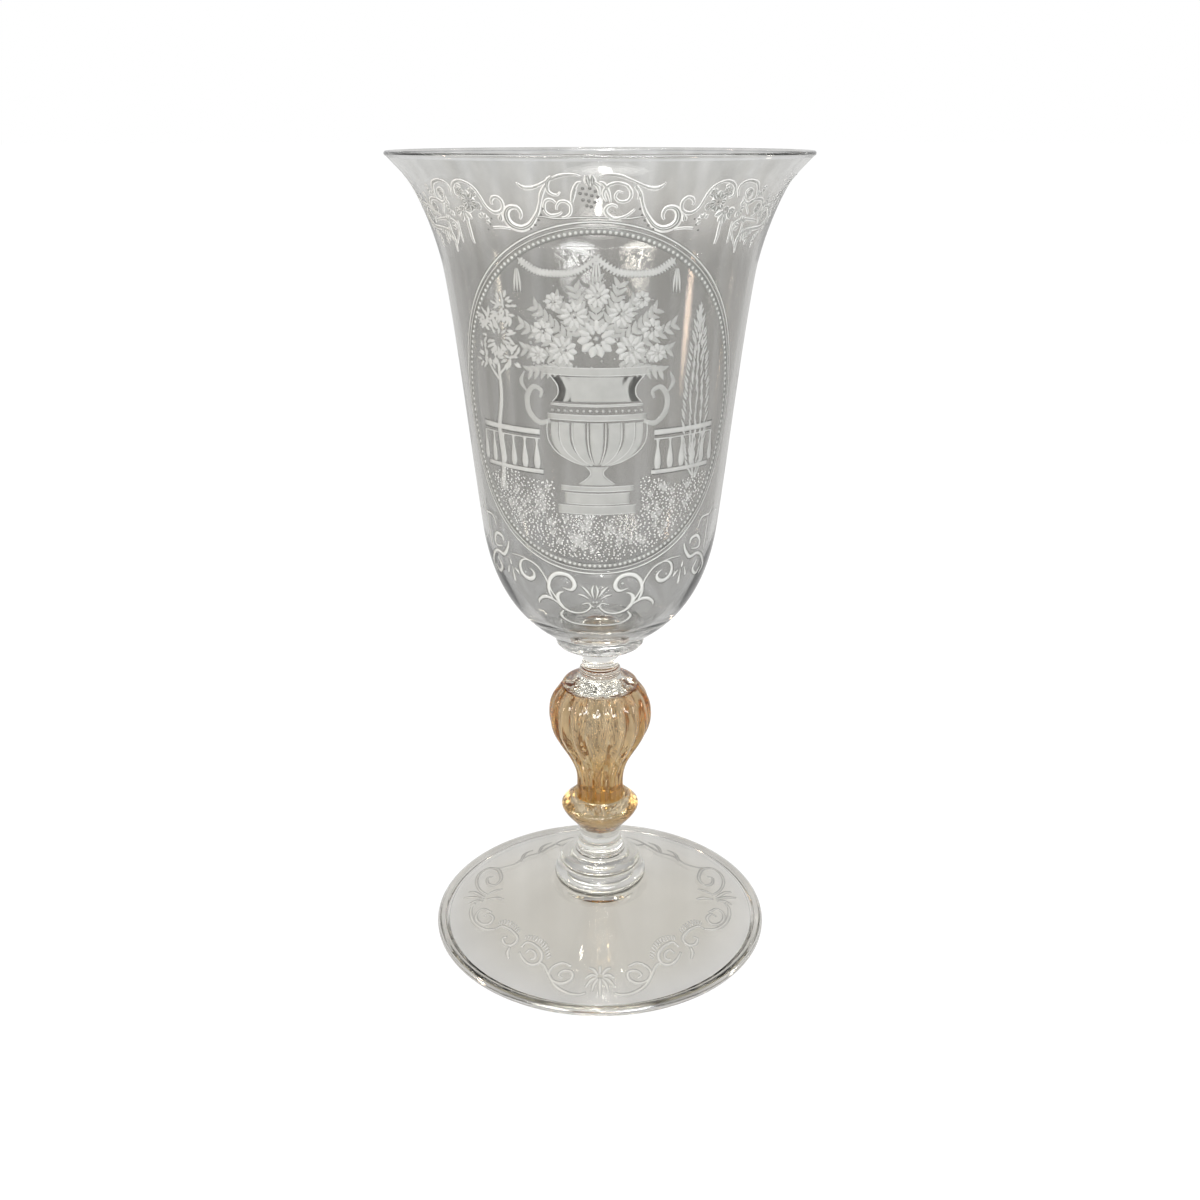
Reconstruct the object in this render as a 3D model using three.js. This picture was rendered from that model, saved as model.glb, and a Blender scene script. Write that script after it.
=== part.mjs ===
// Engraved glass vase on a stem, in millimetres, +Z up, origin at the middle of the standing plane.
// Hot-worked pieces stacked on one axis: a cone-shaped foot, two stepped collars, a short neck, a
// button, a ring knop that holds the tail of a hollow ribbed knop, a shoulder, a neck, a flat disc
// and a thin bell-shaped bowl. Each joint is a flat face shared by the two pieces.
import * as THREE from 'three';

// Foot: a low hollow cone on a folded rim.
const FOOT_RADIUS = 71.8;
const FOOT_RIM_HEIGHT = 3.6;
const FOOT_RIM_WIDTH = 5.6;
const FOOT_STANDING_WIDTH = 2.6;
const FOOT_STANDING_INSET = 1.4;
const FOOT_WALL = 3.2;
const FOOT_CENTRE_THICKNESS = 5.5;
const FOOT_SEAT_HEIGHT = 19.8;
const FOOT_SEAT_RADIUS = 18.2;
const FOOT_SEAT_SHOULDER = 1.2;
const FOOT_OUTER_SLOPE = 14;
const FOOT_INNER_SLOPE = 23;

// Lower step: the wide collar on the foot.
const LOWER_STEP_HEIGHT = 7.8;
const LOWER_STEP_BULGE = 1.6;
const LOWER_STEP_BULGE_HEIGHT = 3.9;

// Upper step: a thinner collar, domed towards the neck.
const UPPER_STEP_SEAT_RADIUS = 16.0;
const UPPER_STEP_HEIGHT = 7.2;
const UPPER_STEP_BULGE = 1.3;
const UPPER_STEP_BULGE_HEIGHT = 2.1;

// Lower neck: a short cylinder with a groove at its foot.
const LOWER_NECK_SEAT_RADIUS = 10.8;
const LOWER_NECK_RADIUS = 9.6;
const LOWER_NECK_FILLET = 1.3;
const LOWER_NECK_HEIGHT = 5.4;

// Lower button: a small rounded disc under the ring knop.
const BUTTON_SEAT_RADIUS = 8.0;
const BUTTON_HEIGHT = 5.5;
const BUTTON_BULGE = 0.8;

// Ring knop: a sharp-edged ring with a pocket for the ribbed knop's tail.
const RING_SEAT_RADIUS = 8.9;
const RING_RADIUS = 16.4;
const RING_LOWER_HEIGHT = 10.6;
const RING_UPPER_HEIGHT = 4.6;
const RING_UNDERSIDE_LEAN = 37;
const RING_TOP_LEAN = 45;
const RING_LIP = 1.2;
const RING_POCKET_DEPTH = 6.6;
const POCKET_CLEARANCE = 0.35;

// Ribbed knop: a hollow pear-shaped bulb, ribbed from its mouth to its tail.
const KNOP_RIBS = 16;
const KNOP_TAIL_RADIUS = 10.5;
const KNOP_WAIST_RADIUS = 9.75;
const KNOP_WAIST_HEIGHT = 12.8;
const KNOP_RADIUS = 21.4;
const KNOP_WIDEST_HEIGHT = 44.0;
const KNOP_HEIGHT = 57.2;
const KNOP_MOUTH_RADIUS = 16.4;
const KNOP_RIB_DEPTH = 1.5;
const KNOP_TAIL_RIB_DEPTH = 0.7;
const KNOP_CAVITY_RADIUS = 15.4;
const KNOP_CAVITY_MOUTH_RADIUS = 10.4;
const KNOP_CAVITY_FLOOR = 7.5;
const KNOP_CAVITY_WAIST_RADIUS = 4.6;
const KNOP_FIRST_RIB_TURN = -4;
const KNOP_MOUTH_LEAN = 42;
const KNOP_WAIST_PULL = 0.42;
const KNOP_BELLY_PULL = 0.36;
const KNOP_CROWN_PULL = 0.45;
const KNOP_CAVITY_MOUTH_LEAN = 50;

// Shoulder: the smooth dome that closes the ribbed bulb, with a twice-ringed neck on it.
const SHOULDER_EDGE_RADIUS = 15.5;
const SHOULDER_EDGE_HEIGHT = 1.6;
const SHOULDER_DOME_HEIGHT = 5.4;
const SHOULDER_NECK_RADIUS = 8.0;
const SHOULDER_RING_BULGE = 0.5;
const SHOULDER_RING_HEIGHT = 1.5;
const SHOULDER_RINGS = 2;

// Upper neck: the slightly waisted joint under the bowl's disc.
const UPPER_NECK_SEAT_RADIUS = 7.8;
const UPPER_NECK_WAIST_RADIUS = 7.4;
const UPPER_NECK_TOP_RADIUS = 8.8;
const UPPER_NECK_HEIGHT = 8.9;

// Bowl disc: the flat round disc between neck and bowl.
const DISC_HEIGHT = 5.2;
const DISC_UNDERSIDE_RADIUS = 12.4;
const DISC_UNDERSIDE_RISE = 0.7;
const DISC_BULGE = 1.5;
const DISC_WIDEST_HEIGHT = 3.6;

// Bowl: a thin blown bell. Angles are degrees from the vertical, outwards.
const BOWL_SEAT_RADIUS = 16.4;
const BOWL_SEAT_ANGLE = 58.4;
const BOWL_BELLY_RADIUS = 46.2;
const BOWL_BELLY_HEIGHT = 48.8;
const BOWL_BELLY_ANGLE = 7.0;
const BOWL_FLARE_RADIUS = 57.4;
const BOWL_FLARE_HEIGHT = 146.0;
const BOWL_FLARE_ANGLE = 9.4;
const BOWL_LIP_RADIUS = 68.05;
const BOWL_LIP_HEIGHT = 176.4;
const BOWL_LIP_ANGLE = 29.8;
const BOWL_RIM_RADIUS = 76.4;
const BOWL_RIM_HEIGHT = 185.8;
const BOWL_RIM_ANGLE = 42.0;
const BOWL_WALL = 2.2;
const BOWL_RIM_WALL = 1.4;
const BOWL_BEAD_SWELL = 0.15;
const BOWL_HEEL_WALL = 3.4;
const BOWL_HEEL_HEIGHT = 13;
const BOWL_FLOOR_THICKNESS = 6.8;

// How far an outline keeps the angle at its end, as a share of the stretch that it bends through.
const EVEN_PULL = 0.3;
const BOWL_SEAT_PULL = 0.24;
const BOWL_BELLY_LOWER_PULL = 0.67;
const BOWL_BARREL_PULL = 0.24;

// Facets round the axis: four to a rib on the knop.
const WIDE_FACETS = 48;
const NARROW_FACETS = 32;
const KNOP_FACETS = 4 * KNOP_RIBS;
const SAME_POINT = 0.01;

// Heights of the seats above the standing plane, from the foot up.
const lowerStepBase = FOOT_SEAT_HEIGHT;
const upperStepBase = lowerStepBase + LOWER_STEP_HEIGHT;
const lowerNeckBase = upperStepBase + UPPER_STEP_HEIGHT;
const buttonBase = lowerNeckBase + LOWER_NECK_HEIGHT;
const ringBase = buttonBase + BUTTON_HEIGHT;
const ringTop = RING_LOWER_HEIGHT + RING_UPPER_HEIGHT;
const knopBase = ringBase + ringTop - RING_POCKET_DEPTH;
const shoulderBase = knopBase + KNOP_HEIGHT;
const shoulderHeight = SHOULDER_DOME_HEIGHT + SHOULDER_RINGS * SHOULDER_RING_HEIGHT;
const upperNeckBase = shoulderBase + shoulderHeight;
const discBase = upperNeckBase + UPPER_NECK_HEIGHT;
const bowlBase = discBase + DISC_HEIGHT;

const point = (radius, height) => new THREE.Vector2(radius, height);

// Unit direction in the outline plane, at an angle in degrees from the vertical, outwards.
function heading(angle) {
  const turn = THREE.MathUtils.degToRad(angle);
  return point(Math.sin(turn), Math.cos(turn));
}

// Points of a smooth curve from start to end that leaves and arrives along the given angles.
function blendPoints(start, startAngle, startPull, end, endAngle, endPull, steps) {
  const leave = start.clone().addScaledVector(heading(startAngle), startPull);
  const arrive = end.clone().addScaledVector(heading(endAngle), -endPull);
  return new THREE.CubicBezierCurve(start, leave, arrive, end).getPoints(steps);
}

// Points of a quarter or half ellipse about a centre, between two angles in degrees from the radius.
function arcPoints(radius, height, across, up, from, to, steps) {
  const start = THREE.MathUtils.degToRad(from);
  const end = THREE.MathUtils.degToRad(to);
  return new THREE.EllipseCurve(radius, height, across, up, start, end, to < from).getPoints(steps);
}

// The outline without the repeated points where two curves meet.
function joined(outline) {
  return outline.filter((p, i) => i === 0 || p.distanceTo(outline[i - 1]) > SAME_POINT);
}

// Solid of revolution about Z from an outline that starts and ends on the axis.
function turned(outline, facets) {
  return new THREE.LatheGeometry(joined(outline), facets).rotateX(Math.PI / 2);
}

// Clear soda glass, faintly grey.
function clearGlass() {
  return new THREE.MeshStandardMaterial({ color: 0xd4d6d1, roughness: 0.06, metalness: 0 });
}

// Engraved clear glass: a shade whiter where the wheel has matted it.
function engravedGlass() {
  return new THREE.MeshStandardMaterial({ color: 0xdddedb, roughness: 0.14, metalness: 0 });
}

// Clear glass that takes a straw tint from the amber beside it.
function strawGlass() {
  return new THREE.MeshStandardMaterial({ color: 0xdccfb4, roughness: 0.06, metalness: 0 });
}

// Amber glass of the ribbed bulb.
function amberGlass() {
  return new THREE.MeshStandardMaterial({ color: 0xb9966a, roughness: 0.08, metalness: 0 });
}

// Foot: standing ring, round folded edge, cone up to the seat, and a hollow underside.
function footGeometry() {
  const standOuter = FOOT_RADIUS - FOOT_STANDING_INSET;
  const standInner = standOuter - FOOT_STANDING_WIDTH;
  const rimInner = FOOT_RADIUS - FOOT_RIM_WIDTH;
  const halfRim = FOOT_RIM_HEIGHT / 2;
  const seatEdge = FOOT_SEAT_RADIUS + FOOT_SEAT_SHOULDER;
  const coneStart = point(rimInner, FOOT_RIM_HEIGHT);
  const coneEnd = point(seatEdge, FOOT_SEAT_HEIGHT - FOOT_SEAT_SHOULDER / 2);
  const pull = (coneStart.x - coneEnd.x) / 3;
  const cone = blendPoints(coneStart, FOOT_OUTER_SLOPE - 90, pull, coneEnd, FOOT_INNER_SLOPE - 90, pull, 6);
  const hollowTop = FOOT_SEAT_HEIGHT - FOOT_CENTRE_THICKNESS;
  const underside = cone.slice(0, -1).map((p) => point(p.x, p.y - FOOT_WALL));
  return turned([
    point(0, hollowTop),
    point(FOOT_SEAT_RADIUS * 0.6, hollowTop),
    ...underside.reverse(),
    point(standInner, 0),
    point(standOuter, 0),
    ...arcPoints(FOOT_RADIUS - halfRim, halfRim, halfRim, halfRim, -50, 90, 5),
    ...cone,
    point(FOOT_SEAT_RADIUS, FOOT_SEAT_HEIGHT),
    point(0, FOOT_SEAT_HEIGHT),
  ], WIDE_FACETS);
}

// Lower step: rounded collar, widest near its lower third.
function lowerStepGeometry() {
  const widest = point(FOOT_SEAT_RADIUS + LOWER_STEP_BULGE, LOWER_STEP_BULGE_HEIGHT);
  const topEdge = point(UPPER_STEP_SEAT_RADIUS, LOWER_STEP_HEIGHT);
  const upperRise = LOWER_STEP_HEIGHT - LOWER_STEP_BULGE_HEIGHT;
  return turned([
    point(0, 0),
    ...blendPoints(point(FOOT_SEAT_RADIUS, 0), 50, 1.2, widest, 0, LOWER_STEP_BULGE_HEIGHT / 2, 3),
    ...blendPoints(widest, 0, upperRise / 2, topEdge, -80, (widest.x - topEdge.x) / 2, 4),
    point(0, LOWER_STEP_HEIGHT),
  ], NARROW_FACETS);
}

// Upper step: rounded edge, then a dome that sweeps up into the neck.
function upperStepGeometry() {
  const widest = point(UPPER_STEP_SEAT_RADIUS + UPPER_STEP_BULGE, UPPER_STEP_BULGE_HEIGHT);
  const topEdge = point(LOWER_NECK_SEAT_RADIUS, UPPER_STEP_HEIGHT);
  const domeEdge = point((widest.x + topEdge.x) / 2, (widest.y + topEdge.y) / 2);
  const domeRise = domeEdge.y - widest.y;
  return turned([
    point(0, 0),
    ...blendPoints(point(UPPER_STEP_SEAT_RADIUS, 0), 60, 1, widest, 0, UPPER_STEP_BULGE_HEIGHT / 2, 3),
    ...blendPoints(widest, 0, domeRise / 2, domeEdge, -70, (widest.x - domeEdge.x) / 2, 3),
    ...blendPoints(domeEdge, -70, 1, topEdge, -25, domeRise / 2, 3),
    point(0, UPPER_STEP_HEIGHT),
  ], NARROW_FACETS);
}

// Lower neck: fillet at the foot, straight side, rounded upper edge.
function lowerNeckGeometry() {
  const round = LOWER_NECK_RADIUS - BUTTON_SEAT_RADIUS;
  const flare = LOWER_NECK_SEAT_RADIUS - LOWER_NECK_RADIUS;
  return turned([
    point(0, 0),
    ...arcPoints(LOWER_NECK_SEAT_RADIUS, LOWER_NECK_FILLET, flare, LOWER_NECK_FILLET, 270, 180, 3),
    ...arcPoints(BUTTON_SEAT_RADIUS, LOWER_NECK_HEIGHT - round, round, round, 0, 90, 3),
    point(0, LOWER_NECK_HEIGHT),
  ], NARROW_FACETS);
}

// Lower button: a disc with a rounded side, a little wider at its upper seat.
function buttonGeometry() {
  const bottom = point(BUTTON_SEAT_RADIUS, 0);
  const top = point(RING_SEAT_RADIUS, BUTTON_HEIGHT);
  return turned([
    point(0, 0),
    ...blendPoints(bottom, 45, BUTTON_BULGE * 2, top, -10, BUTTON_BULGE * 2, 5),
    point(0, BUTTON_HEIGHT),
  ], NARROW_FACETS);
}

// Ring knop: cup-shaped underside, blunt edge, upper slope, lip and pocket.
function ringKnopGeometry() {
  const pocketRadius = KNOP_TAIL_RADIUS + POCKET_CLEARANCE;
  const pocketFloor = ringTop - RING_POCKET_DEPTH;
  const seat = point(RING_SEAT_RADIUS, 0);
  const widest = point(RING_RADIUS, RING_LOWER_HEIGHT);
  const lip = point(pocketRadius + RING_LIP, ringTop);
  return turned([
    point(0, 0),
    ...blendPoints(seat, RING_UNDERSIDE_LEAN, RING_LOWER_HEIGHT * 0.42,
      widest, 0, RING_LOWER_HEIGHT * 0.24, 5),
    ...blendPoints(widest, 0, RING_UPPER_HEIGHT * EVEN_PULL,
      lip, -RING_TOP_LEAN, RING_UPPER_HEIGHT * 0.45, 4),
    point(pocketRadius, ringTop),
    point(pocketRadius, pocketFloor),
    point(0, pocketFloor),
  ], NARROW_FACETS);
}

// Depth of the grooves between ribs at a height of the knop: they fade out at the mouth.
function ribDepth(height) {
  const belly = THREE.MathUtils.smoothstep(height, 0, KNOP_WIDEST_HEIGHT);
  const fade = 1 - THREE.MathUtils.smoothstep(height, KNOP_WIDEST_HEIGHT, KNOP_HEIGHT);
  return (KNOP_TAIL_RIB_DEPTH + (KNOP_RIB_DEPTH - KNOP_TAIL_RIB_DEPTH) * belly) * fade;
}

// Ribbed knop: the outer outline runs over the rib crests, from the tail to the open mouth.
function knopCrests() {
  const waist = point(KNOP_WAIST_RADIUS, KNOP_WAIST_HEIGHT);
  const widest = point(KNOP_RADIUS, KNOP_WIDEST_HEIGHT);
  const tailPull = KNOP_WAIST_HEIGHT * EVEN_PULL;
  const belly = KNOP_WIDEST_HEIGHT - KNOP_WAIST_HEIGHT;
  const crownPull = (KNOP_HEIGHT - KNOP_WIDEST_HEIGHT) * KNOP_CROWN_PULL;
  return joined([
    ...blendPoints(point(KNOP_TAIL_RADIUS, 0), 0, tailPull, waist, 0, tailPull, 3),
    ...blendPoints(waist, 0, belly * KNOP_WAIST_PULL, widest, 0, belly * KNOP_BELLY_PULL, 7),
    ...blendPoints(widest, 0, crownPull,
      point(KNOP_MOUTH_RADIUS, KNOP_HEIGHT), -KNOP_MOUTH_LEAN, crownPull, 4),
  ]);
}

// The bubble inside the knop, from its mouth down to its pointed floor.
function knopCavity() {
  const mouth = point(KNOP_CAVITY_MOUTH_RADIUS, KNOP_HEIGHT);
  const widest = point(KNOP_CAVITY_RADIUS, KNOP_WIDEST_HEIGHT);
  const waist = point(KNOP_CAVITY_WAIST_RADIUS, KNOP_WAIST_HEIGHT);
  const bellyPull = (KNOP_WIDEST_HEIGHT - KNOP_WAIST_HEIGHT) * EVEN_PULL;
  const crownPull = (KNOP_HEIGHT - KNOP_WIDEST_HEIGHT) * EVEN_PULL;
  return joined([
    ...blendPoints(mouth, 180 - KNOP_CAVITY_MOUTH_LEAN, crownPull, widest, 180, crownPull, 3),
    ...blendPoints(widest, 180, bellyPull, waist, 180, bellyPull, 4),
    point(0, KNOP_CAVITY_FLOOR),
  ]);
}

// Hollow bulb, turned first, then its outer points pressed in between the ribs.
function ribbedKnopGeometry() {
  const crests = knopCrests();
  const outline = [point(0, 0), ...crests, ...knopCavity()];
  const geometry = turned(outline, KNOP_FACETS);
  const places = geometry.getAttribute('position');
  for (let i = 0; i < places.count; i += 1) {
    const outlineIndex = i % outline.length;
    if (outlineIndex >= 1 && outlineIndex <= crests.length) {
      const angle = Math.atan2(places.getY(i), places.getX(i));
      const groove = 1 - Math.abs(Math.cos((KNOP_RIBS * angle) / 2));
      const crest = Math.hypot(places.getX(i), places.getY(i));
      const radius = crest - ribDepth(places.getZ(i)) * groove;
      places.setXY(i, radius * Math.cos(angle), radius * Math.sin(angle));
    }
  }
  return geometry.rotateZ(THREE.MathUtils.degToRad(KNOP_FIRST_RIB_TURN - 90));
}

// Shoulder: short upright edge, dome, and a neck with small rings.
function shoulderGeometry() {
  const edgeTop = point(SHOULDER_EDGE_RADIUS, SHOULDER_EDGE_HEIGHT);
  const neckStart = point(SHOULDER_NECK_RADIUS, SHOULDER_DOME_HEIGHT);
  const across = edgeTop.x - neckStart.x;
  const halfRing = SHOULDER_RING_HEIGHT / 2;
  const rings = [];
  for (let ring = 0; ring < SHOULDER_RINGS; ring += 1) {
    const middle = SHOULDER_DOME_HEIGHT + (ring + 0.5) * SHOULDER_RING_HEIGHT;
    rings.push(...arcPoints(SHOULDER_NECK_RADIUS, middle, SHOULDER_RING_BULGE, halfRing, -90, 90, 4));
  }
  return turned([
    point(0, 0),
    point(SHOULDER_EDGE_RADIUS, 0),
    ...blendPoints(edgeTop, -30, across / 3, neckStart, -45, across / 3, 4),
    ...rings,
    point(UPPER_NECK_SEAT_RADIUS, shoulderHeight),
    point(0, shoulderHeight),
  ], NARROW_FACETS);
}

// Upper neck: waisted, flared a little under the disc.
function upperNeckGeometry() {
  const waist = point(UPPER_NECK_WAIST_RADIUS, UPPER_NECK_HEIGHT / 2);
  const pull = UPPER_NECK_HEIGHT / 6;
  return turned([
    point(0, 0),
    ...blendPoints(point(UPPER_NECK_SEAT_RADIUS, 0), -20, pull, waist, 0, pull, 3),
    ...blendPoints(waist, 0, pull, point(UPPER_NECK_TOP_RADIUS, UPPER_NECK_HEIGHT), 40, pull, 3),
    point(0, UPPER_NECK_HEIGHT),
  ], NARROW_FACETS);
}

// Bowl disc: flat underside that turns up into a rounded edge.
function bowlDiscGeometry() {
  const underside = point(DISC_UNDERSIDE_RADIUS, DISC_UNDERSIDE_RISE);
  const widest = point(BOWL_SEAT_RADIUS + DISC_BULGE, DISC_WIDEST_HEIGHT);
  const topEdge = point(BOWL_SEAT_RADIUS, DISC_HEIGHT);
  const lowerRise = widest.y - underside.y;
  const upperRise = topEdge.y - widest.y;
  return turned([
    point(0, 0),
    point(UPPER_NECK_TOP_RADIUS, 0),
    ...blendPoints(underside, 78, lowerRise, widest, 0, lowerRise / 2, 4),
    ...blendPoints(widest, 0, upperRise / 2, topEdge, -60, upperRise / 3, 2),
    point(0, DISC_HEIGHT),
  ], NARROW_FACETS);
}

// Outer outline of the bowl, from its seat to the rim, in four stretches that join smoothly.
function bowlOutside() {
  const seat = point(BOWL_SEAT_RADIUS, 0);
  const belly = point(BOWL_BELLY_RADIUS, BOWL_BELLY_HEIGHT);
  const flare = point(BOWL_FLARE_RADIUS, BOWL_FLARE_HEIGHT);
  const lip = point(BOWL_LIP_RADIUS, BOWL_LIP_HEIGHT);
  const rim = point(BOWL_RIM_RADIUS, BOWL_RIM_HEIGHT);
  const cup = belly.y - seat.y;
  const barrelPull = (flare.y - belly.y) * BOWL_BARREL_PULL;
  const bellPull = (lip.y - flare.y) * EVEN_PULL;
  const lipPull = (rim.y - lip.y) * EVEN_PULL;
  return joined([
    ...blendPoints(seat, BOWL_SEAT_ANGLE, cup * BOWL_SEAT_PULL,
      belly, BOWL_BELLY_ANGLE, cup * BOWL_BELLY_LOWER_PULL, 7),
    ...blendPoints(belly, BOWL_BELLY_ANGLE, barrelPull, flare, BOWL_FLARE_ANGLE, barrelPull, 4),
    ...blendPoints(flare, BOWL_FLARE_ANGLE, bellPull, lip, BOWL_LIP_ANGLE, bellPull, 4),
    ...blendPoints(lip, BOWL_LIP_ANGLE, lipPull, rim, BOWL_RIM_ANGLE, lipPull, 2),
  ]);
}

// Thickness of the bowl's wall at a height: thick at the heel, even up the barrel, thin at the rim.
function bowlWallAt(height) {
  const heel = THREE.MathUtils.smoothstep(height, BOWL_HEEL_HEIGHT, BOWL_BELLY_HEIGHT);
  const rim = THREE.MathUtils.smoothstep(height, BOWL_FLARE_HEIGHT, BOWL_RIM_HEIGHT);
  const barrelWall = THREE.MathUtils.lerp(BOWL_HEEL_WALL, BOWL_WALL, heel);
  return THREE.MathUtils.lerp(barrelWall, BOWL_RIM_WALL, rim);
}

// Bowl: outer outline, rolled bead at the rim, inner outline a wall's thickness in, rounded floor.
function bowlGeometry() {
  const outside = bowlOutside();
  const inward = outside.map((p, i) => {
    const before = outside[Math.max(i - 1, 0)];
    const after = outside[Math.min(i + 1, outside.length - 1)];
    const along = after.clone().sub(before).normalize();
    return point(-along.y, along.x);
  });
  const last = outside.length - 1;
  const beadCentre = outside[last].clone().addScaledVector(inward[last], BOWL_RIM_WALL / 2);
  const beadRadius = BOWL_RIM_WALL / 2 + BOWL_BEAD_SWELL;
  const wrap = THREE.MathUtils.radToDeg(Math.acos(BOWL_RIM_WALL / 2 / beadRadius));
  const bead = arcPoints(beadCentre.x, beadCentre.y, beadRadius, beadRadius,
    -BOWL_RIM_ANGLE - wrap, 180 - BOWL_RIM_ANGLE + wrap, 6);
  const inside = outside
    .map((p, i) => p.clone().addScaledVector(inward[i], bowlWallAt(p.y)))
    .filter((p, i) => i < last && outside[i].y > BOWL_HEEL_HEIGHT)
    .reverse();
  const heel = inside[inside.length - 1];
  const lean = inside[inside.length - 2].clone().sub(heel);
  const heelAngle = THREE.MathUtils.radToDeg(Math.atan2(lean.x, lean.y));
  const floor = blendPoints(heel, heelAngle - 180, heel.x / 3,
    point(0, BOWL_FLOOR_THICKNESS), -90, heel.x / 3, 4);
  return turned([point(0, 0), ...outside.slice(0, -1), ...bead, ...inside, ...floor], WIDE_FACETS);
}

const vase = new THREE.Group();

// Adds one piece with its base at a height on the common axis.
function place(name, geometry, material, base) {
  const piece = new THREE.Mesh(geometry, material);
  piece.name = name;
  piece.position.z = base;
  vase.add(piece);
}

place('foot', footGeometry(), engravedGlass(), 0);
place('lower_step', lowerStepGeometry(), clearGlass(), lowerStepBase);
place('upper_step', upperStepGeometry(), clearGlass(), upperStepBase);
place('lower_neck', lowerNeckGeometry(), clearGlass(), lowerNeckBase);
place('lower_button', buttonGeometry(), clearGlass(), buttonBase);
place('ring_knop', ringKnopGeometry(), strawGlass(), ringBase);
place('ribbed_knop', ribbedKnopGeometry(), amberGlass(), knopBase);
place('knop_shoulder', shoulderGeometry(), strawGlass(), shoulderBase);
place('upper_neck', upperNeckGeometry(), clearGlass(), upperNeckBase);
place('bowl_disc', bowlDiscGeometry(), clearGlass(), discBase);
place('bowl', bowlGeometry(), engravedGlass(), bowlBase);

export default vase;
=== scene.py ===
"""Engraved glass vase on a stem: thin bell-shaped bowl, ribbed amber knop, stepped collars, wide foot.

Every piece is glass turned about the Z axis, except for the pressed ribs and the wheel engraving.
Outlines are in millimetres (distance from the axis, height above the table) and meshes in metres.
"""
import math

import bmesh
import bpy
import numpy as np
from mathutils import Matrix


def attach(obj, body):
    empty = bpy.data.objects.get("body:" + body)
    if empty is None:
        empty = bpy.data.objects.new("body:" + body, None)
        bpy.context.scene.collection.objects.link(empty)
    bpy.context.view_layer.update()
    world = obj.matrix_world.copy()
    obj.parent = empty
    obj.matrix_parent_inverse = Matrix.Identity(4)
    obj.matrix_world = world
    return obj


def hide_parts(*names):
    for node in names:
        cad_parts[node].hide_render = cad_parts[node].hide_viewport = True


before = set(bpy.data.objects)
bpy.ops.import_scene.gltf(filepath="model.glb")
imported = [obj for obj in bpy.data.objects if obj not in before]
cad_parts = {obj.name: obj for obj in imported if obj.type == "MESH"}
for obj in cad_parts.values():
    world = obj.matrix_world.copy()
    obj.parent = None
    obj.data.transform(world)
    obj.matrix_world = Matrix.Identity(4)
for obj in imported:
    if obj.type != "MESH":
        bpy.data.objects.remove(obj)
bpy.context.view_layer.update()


# Studio. A white room, greyer overhead and behind the camera, a pale table that shows faint streaks
# of painted shade only through the glass, two windows and soft lamps on the camera's side, a strip on
# each side and small lamps overhead. The camera stands where the photograph was taken.
CAMERA_DISTANCE = 0.4819
CAMERA_HEIGHT = 0.3287
CAMERA_DOWN = 20.4528
CAMERA_LENS = 38.0144
ROOM_LIGHT = 1.0
WALL_GREY = (0.70, 0.70, 0.705, 1)
CEILING_GREY = (0.36, 0.36, 0.37, 1)
BEHIND_GREY = (0.24, 0.24, 0.25, 1)
TABLE_RADIUS = 30.0
TABLE_COLOUR = (0.88, 0.88, 0.88, 1)
TABLE_SHADE = (0.12, 0.12, 0.12, 1)
TABLE_GLOW = 0.90
TABLE_GLASS_SHADE_COOL = (0.75, 0.755, 0.76, 1)
TABLE_GLASS_SHADE_WARM = (0.53, 0.52, 0.495, 1)
TABLE_STREAKS = 42.0
TABLE_SIDES = 96
TABLE_DROP = 0.0002
LAMP_AIM = (0, 0, 0.22)
LAMP_SHEETS = (1.0, 0.78, 0.56)
SHEET_GAP = 0.004
GLASS_BOUNCES = 48
GLOSSY_BOUNCES = 12
WHITE = (1, 1, 1, 1)


def placed(name, data):
    """A new object with this data, linked to the scene and left at the origin."""
    thing = bpy.data.objects.new(name, data)
    bpy.context.collection.objects.link(thing)
    return thing


camera = placed("camera", bpy.data.cameras.new("camera"))
camera.location = (0, -CAMERA_DISTANCE, CAMERA_HEIGHT)
camera.rotation_euler = (math.radians(90 - CAMERA_DOWN), 0, 0)
camera.data.lens = CAMERA_LENS
camera.data.sensor_width = 36
camera.data.clip_start = 0.01
bpy.context.scene.camera = camera
bpy.context.scene.view_settings.view_transform = "Standard"
# Few glossy bounces, because lamp light that the bowl's wall guides upwards would end in white slivers.
bpy.context.scene.cycles.glossy_bounces = GLOSSY_BOUNCES
for limit in ("max_bounces", "transmission_bounces", "transparent_max_bounces"):
    setattr(bpy.context.scene.cycles, limit, GLASS_BOUNCES)


def add(tree, kind, **values):
    """A new shader node. A name in small letters is a setting. Any other name, or _ and a number, is
    an input, given as a value, as a socket, or as a node whose first output feeds it."""
    node = tree.nodes.new("ShaderNode" + kind)
    for name, value in values.items():
        if name[0].islower():
            setattr(node, name, value)
            continue
        socket = node.inputs[int(name[1:]) if name[0] == "_" else name.replace("_", " ")]
        if isinstance(value, bpy.types.Node):
            value = next(output for output in value.outputs if output.enabled)
        if isinstance(value, bpy.types.NodeSocket):
            tree.links.new(value, socket)
        else:
            socket.default_value = value
    return node


def ramp(tree, value, start, end, **others):
    """A value stretched so that start becomes 0 and end becomes 1, or the two values that To_Min and
    To_Max give, and held there beyond them."""
    return add(tree, "MapRange", Value=value, From_Min=start, From_Max=end, **others)


def mixed(tree, share, first, second):
    """Two colours mixed: the first where the share is 0, the second where it is 1."""
    return add(tree, "Mix", data_type="RGBA", Factor=share, A=first, B=second)


def room_seen(tree):
    """1 for rays that look at the room: straight from the camera, mirrored or through glass."""
    path = add(tree, "LightPath").outputs
    either = add(tree, "Math", operation="MAXIMUM", _0=path["Is Camera Ray"], _1=path["Is Glossy Ray"])
    return add(tree, "Math", operation="MAXIMUM", _0=either, _1=path["Is Transmission Ray"])


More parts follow.
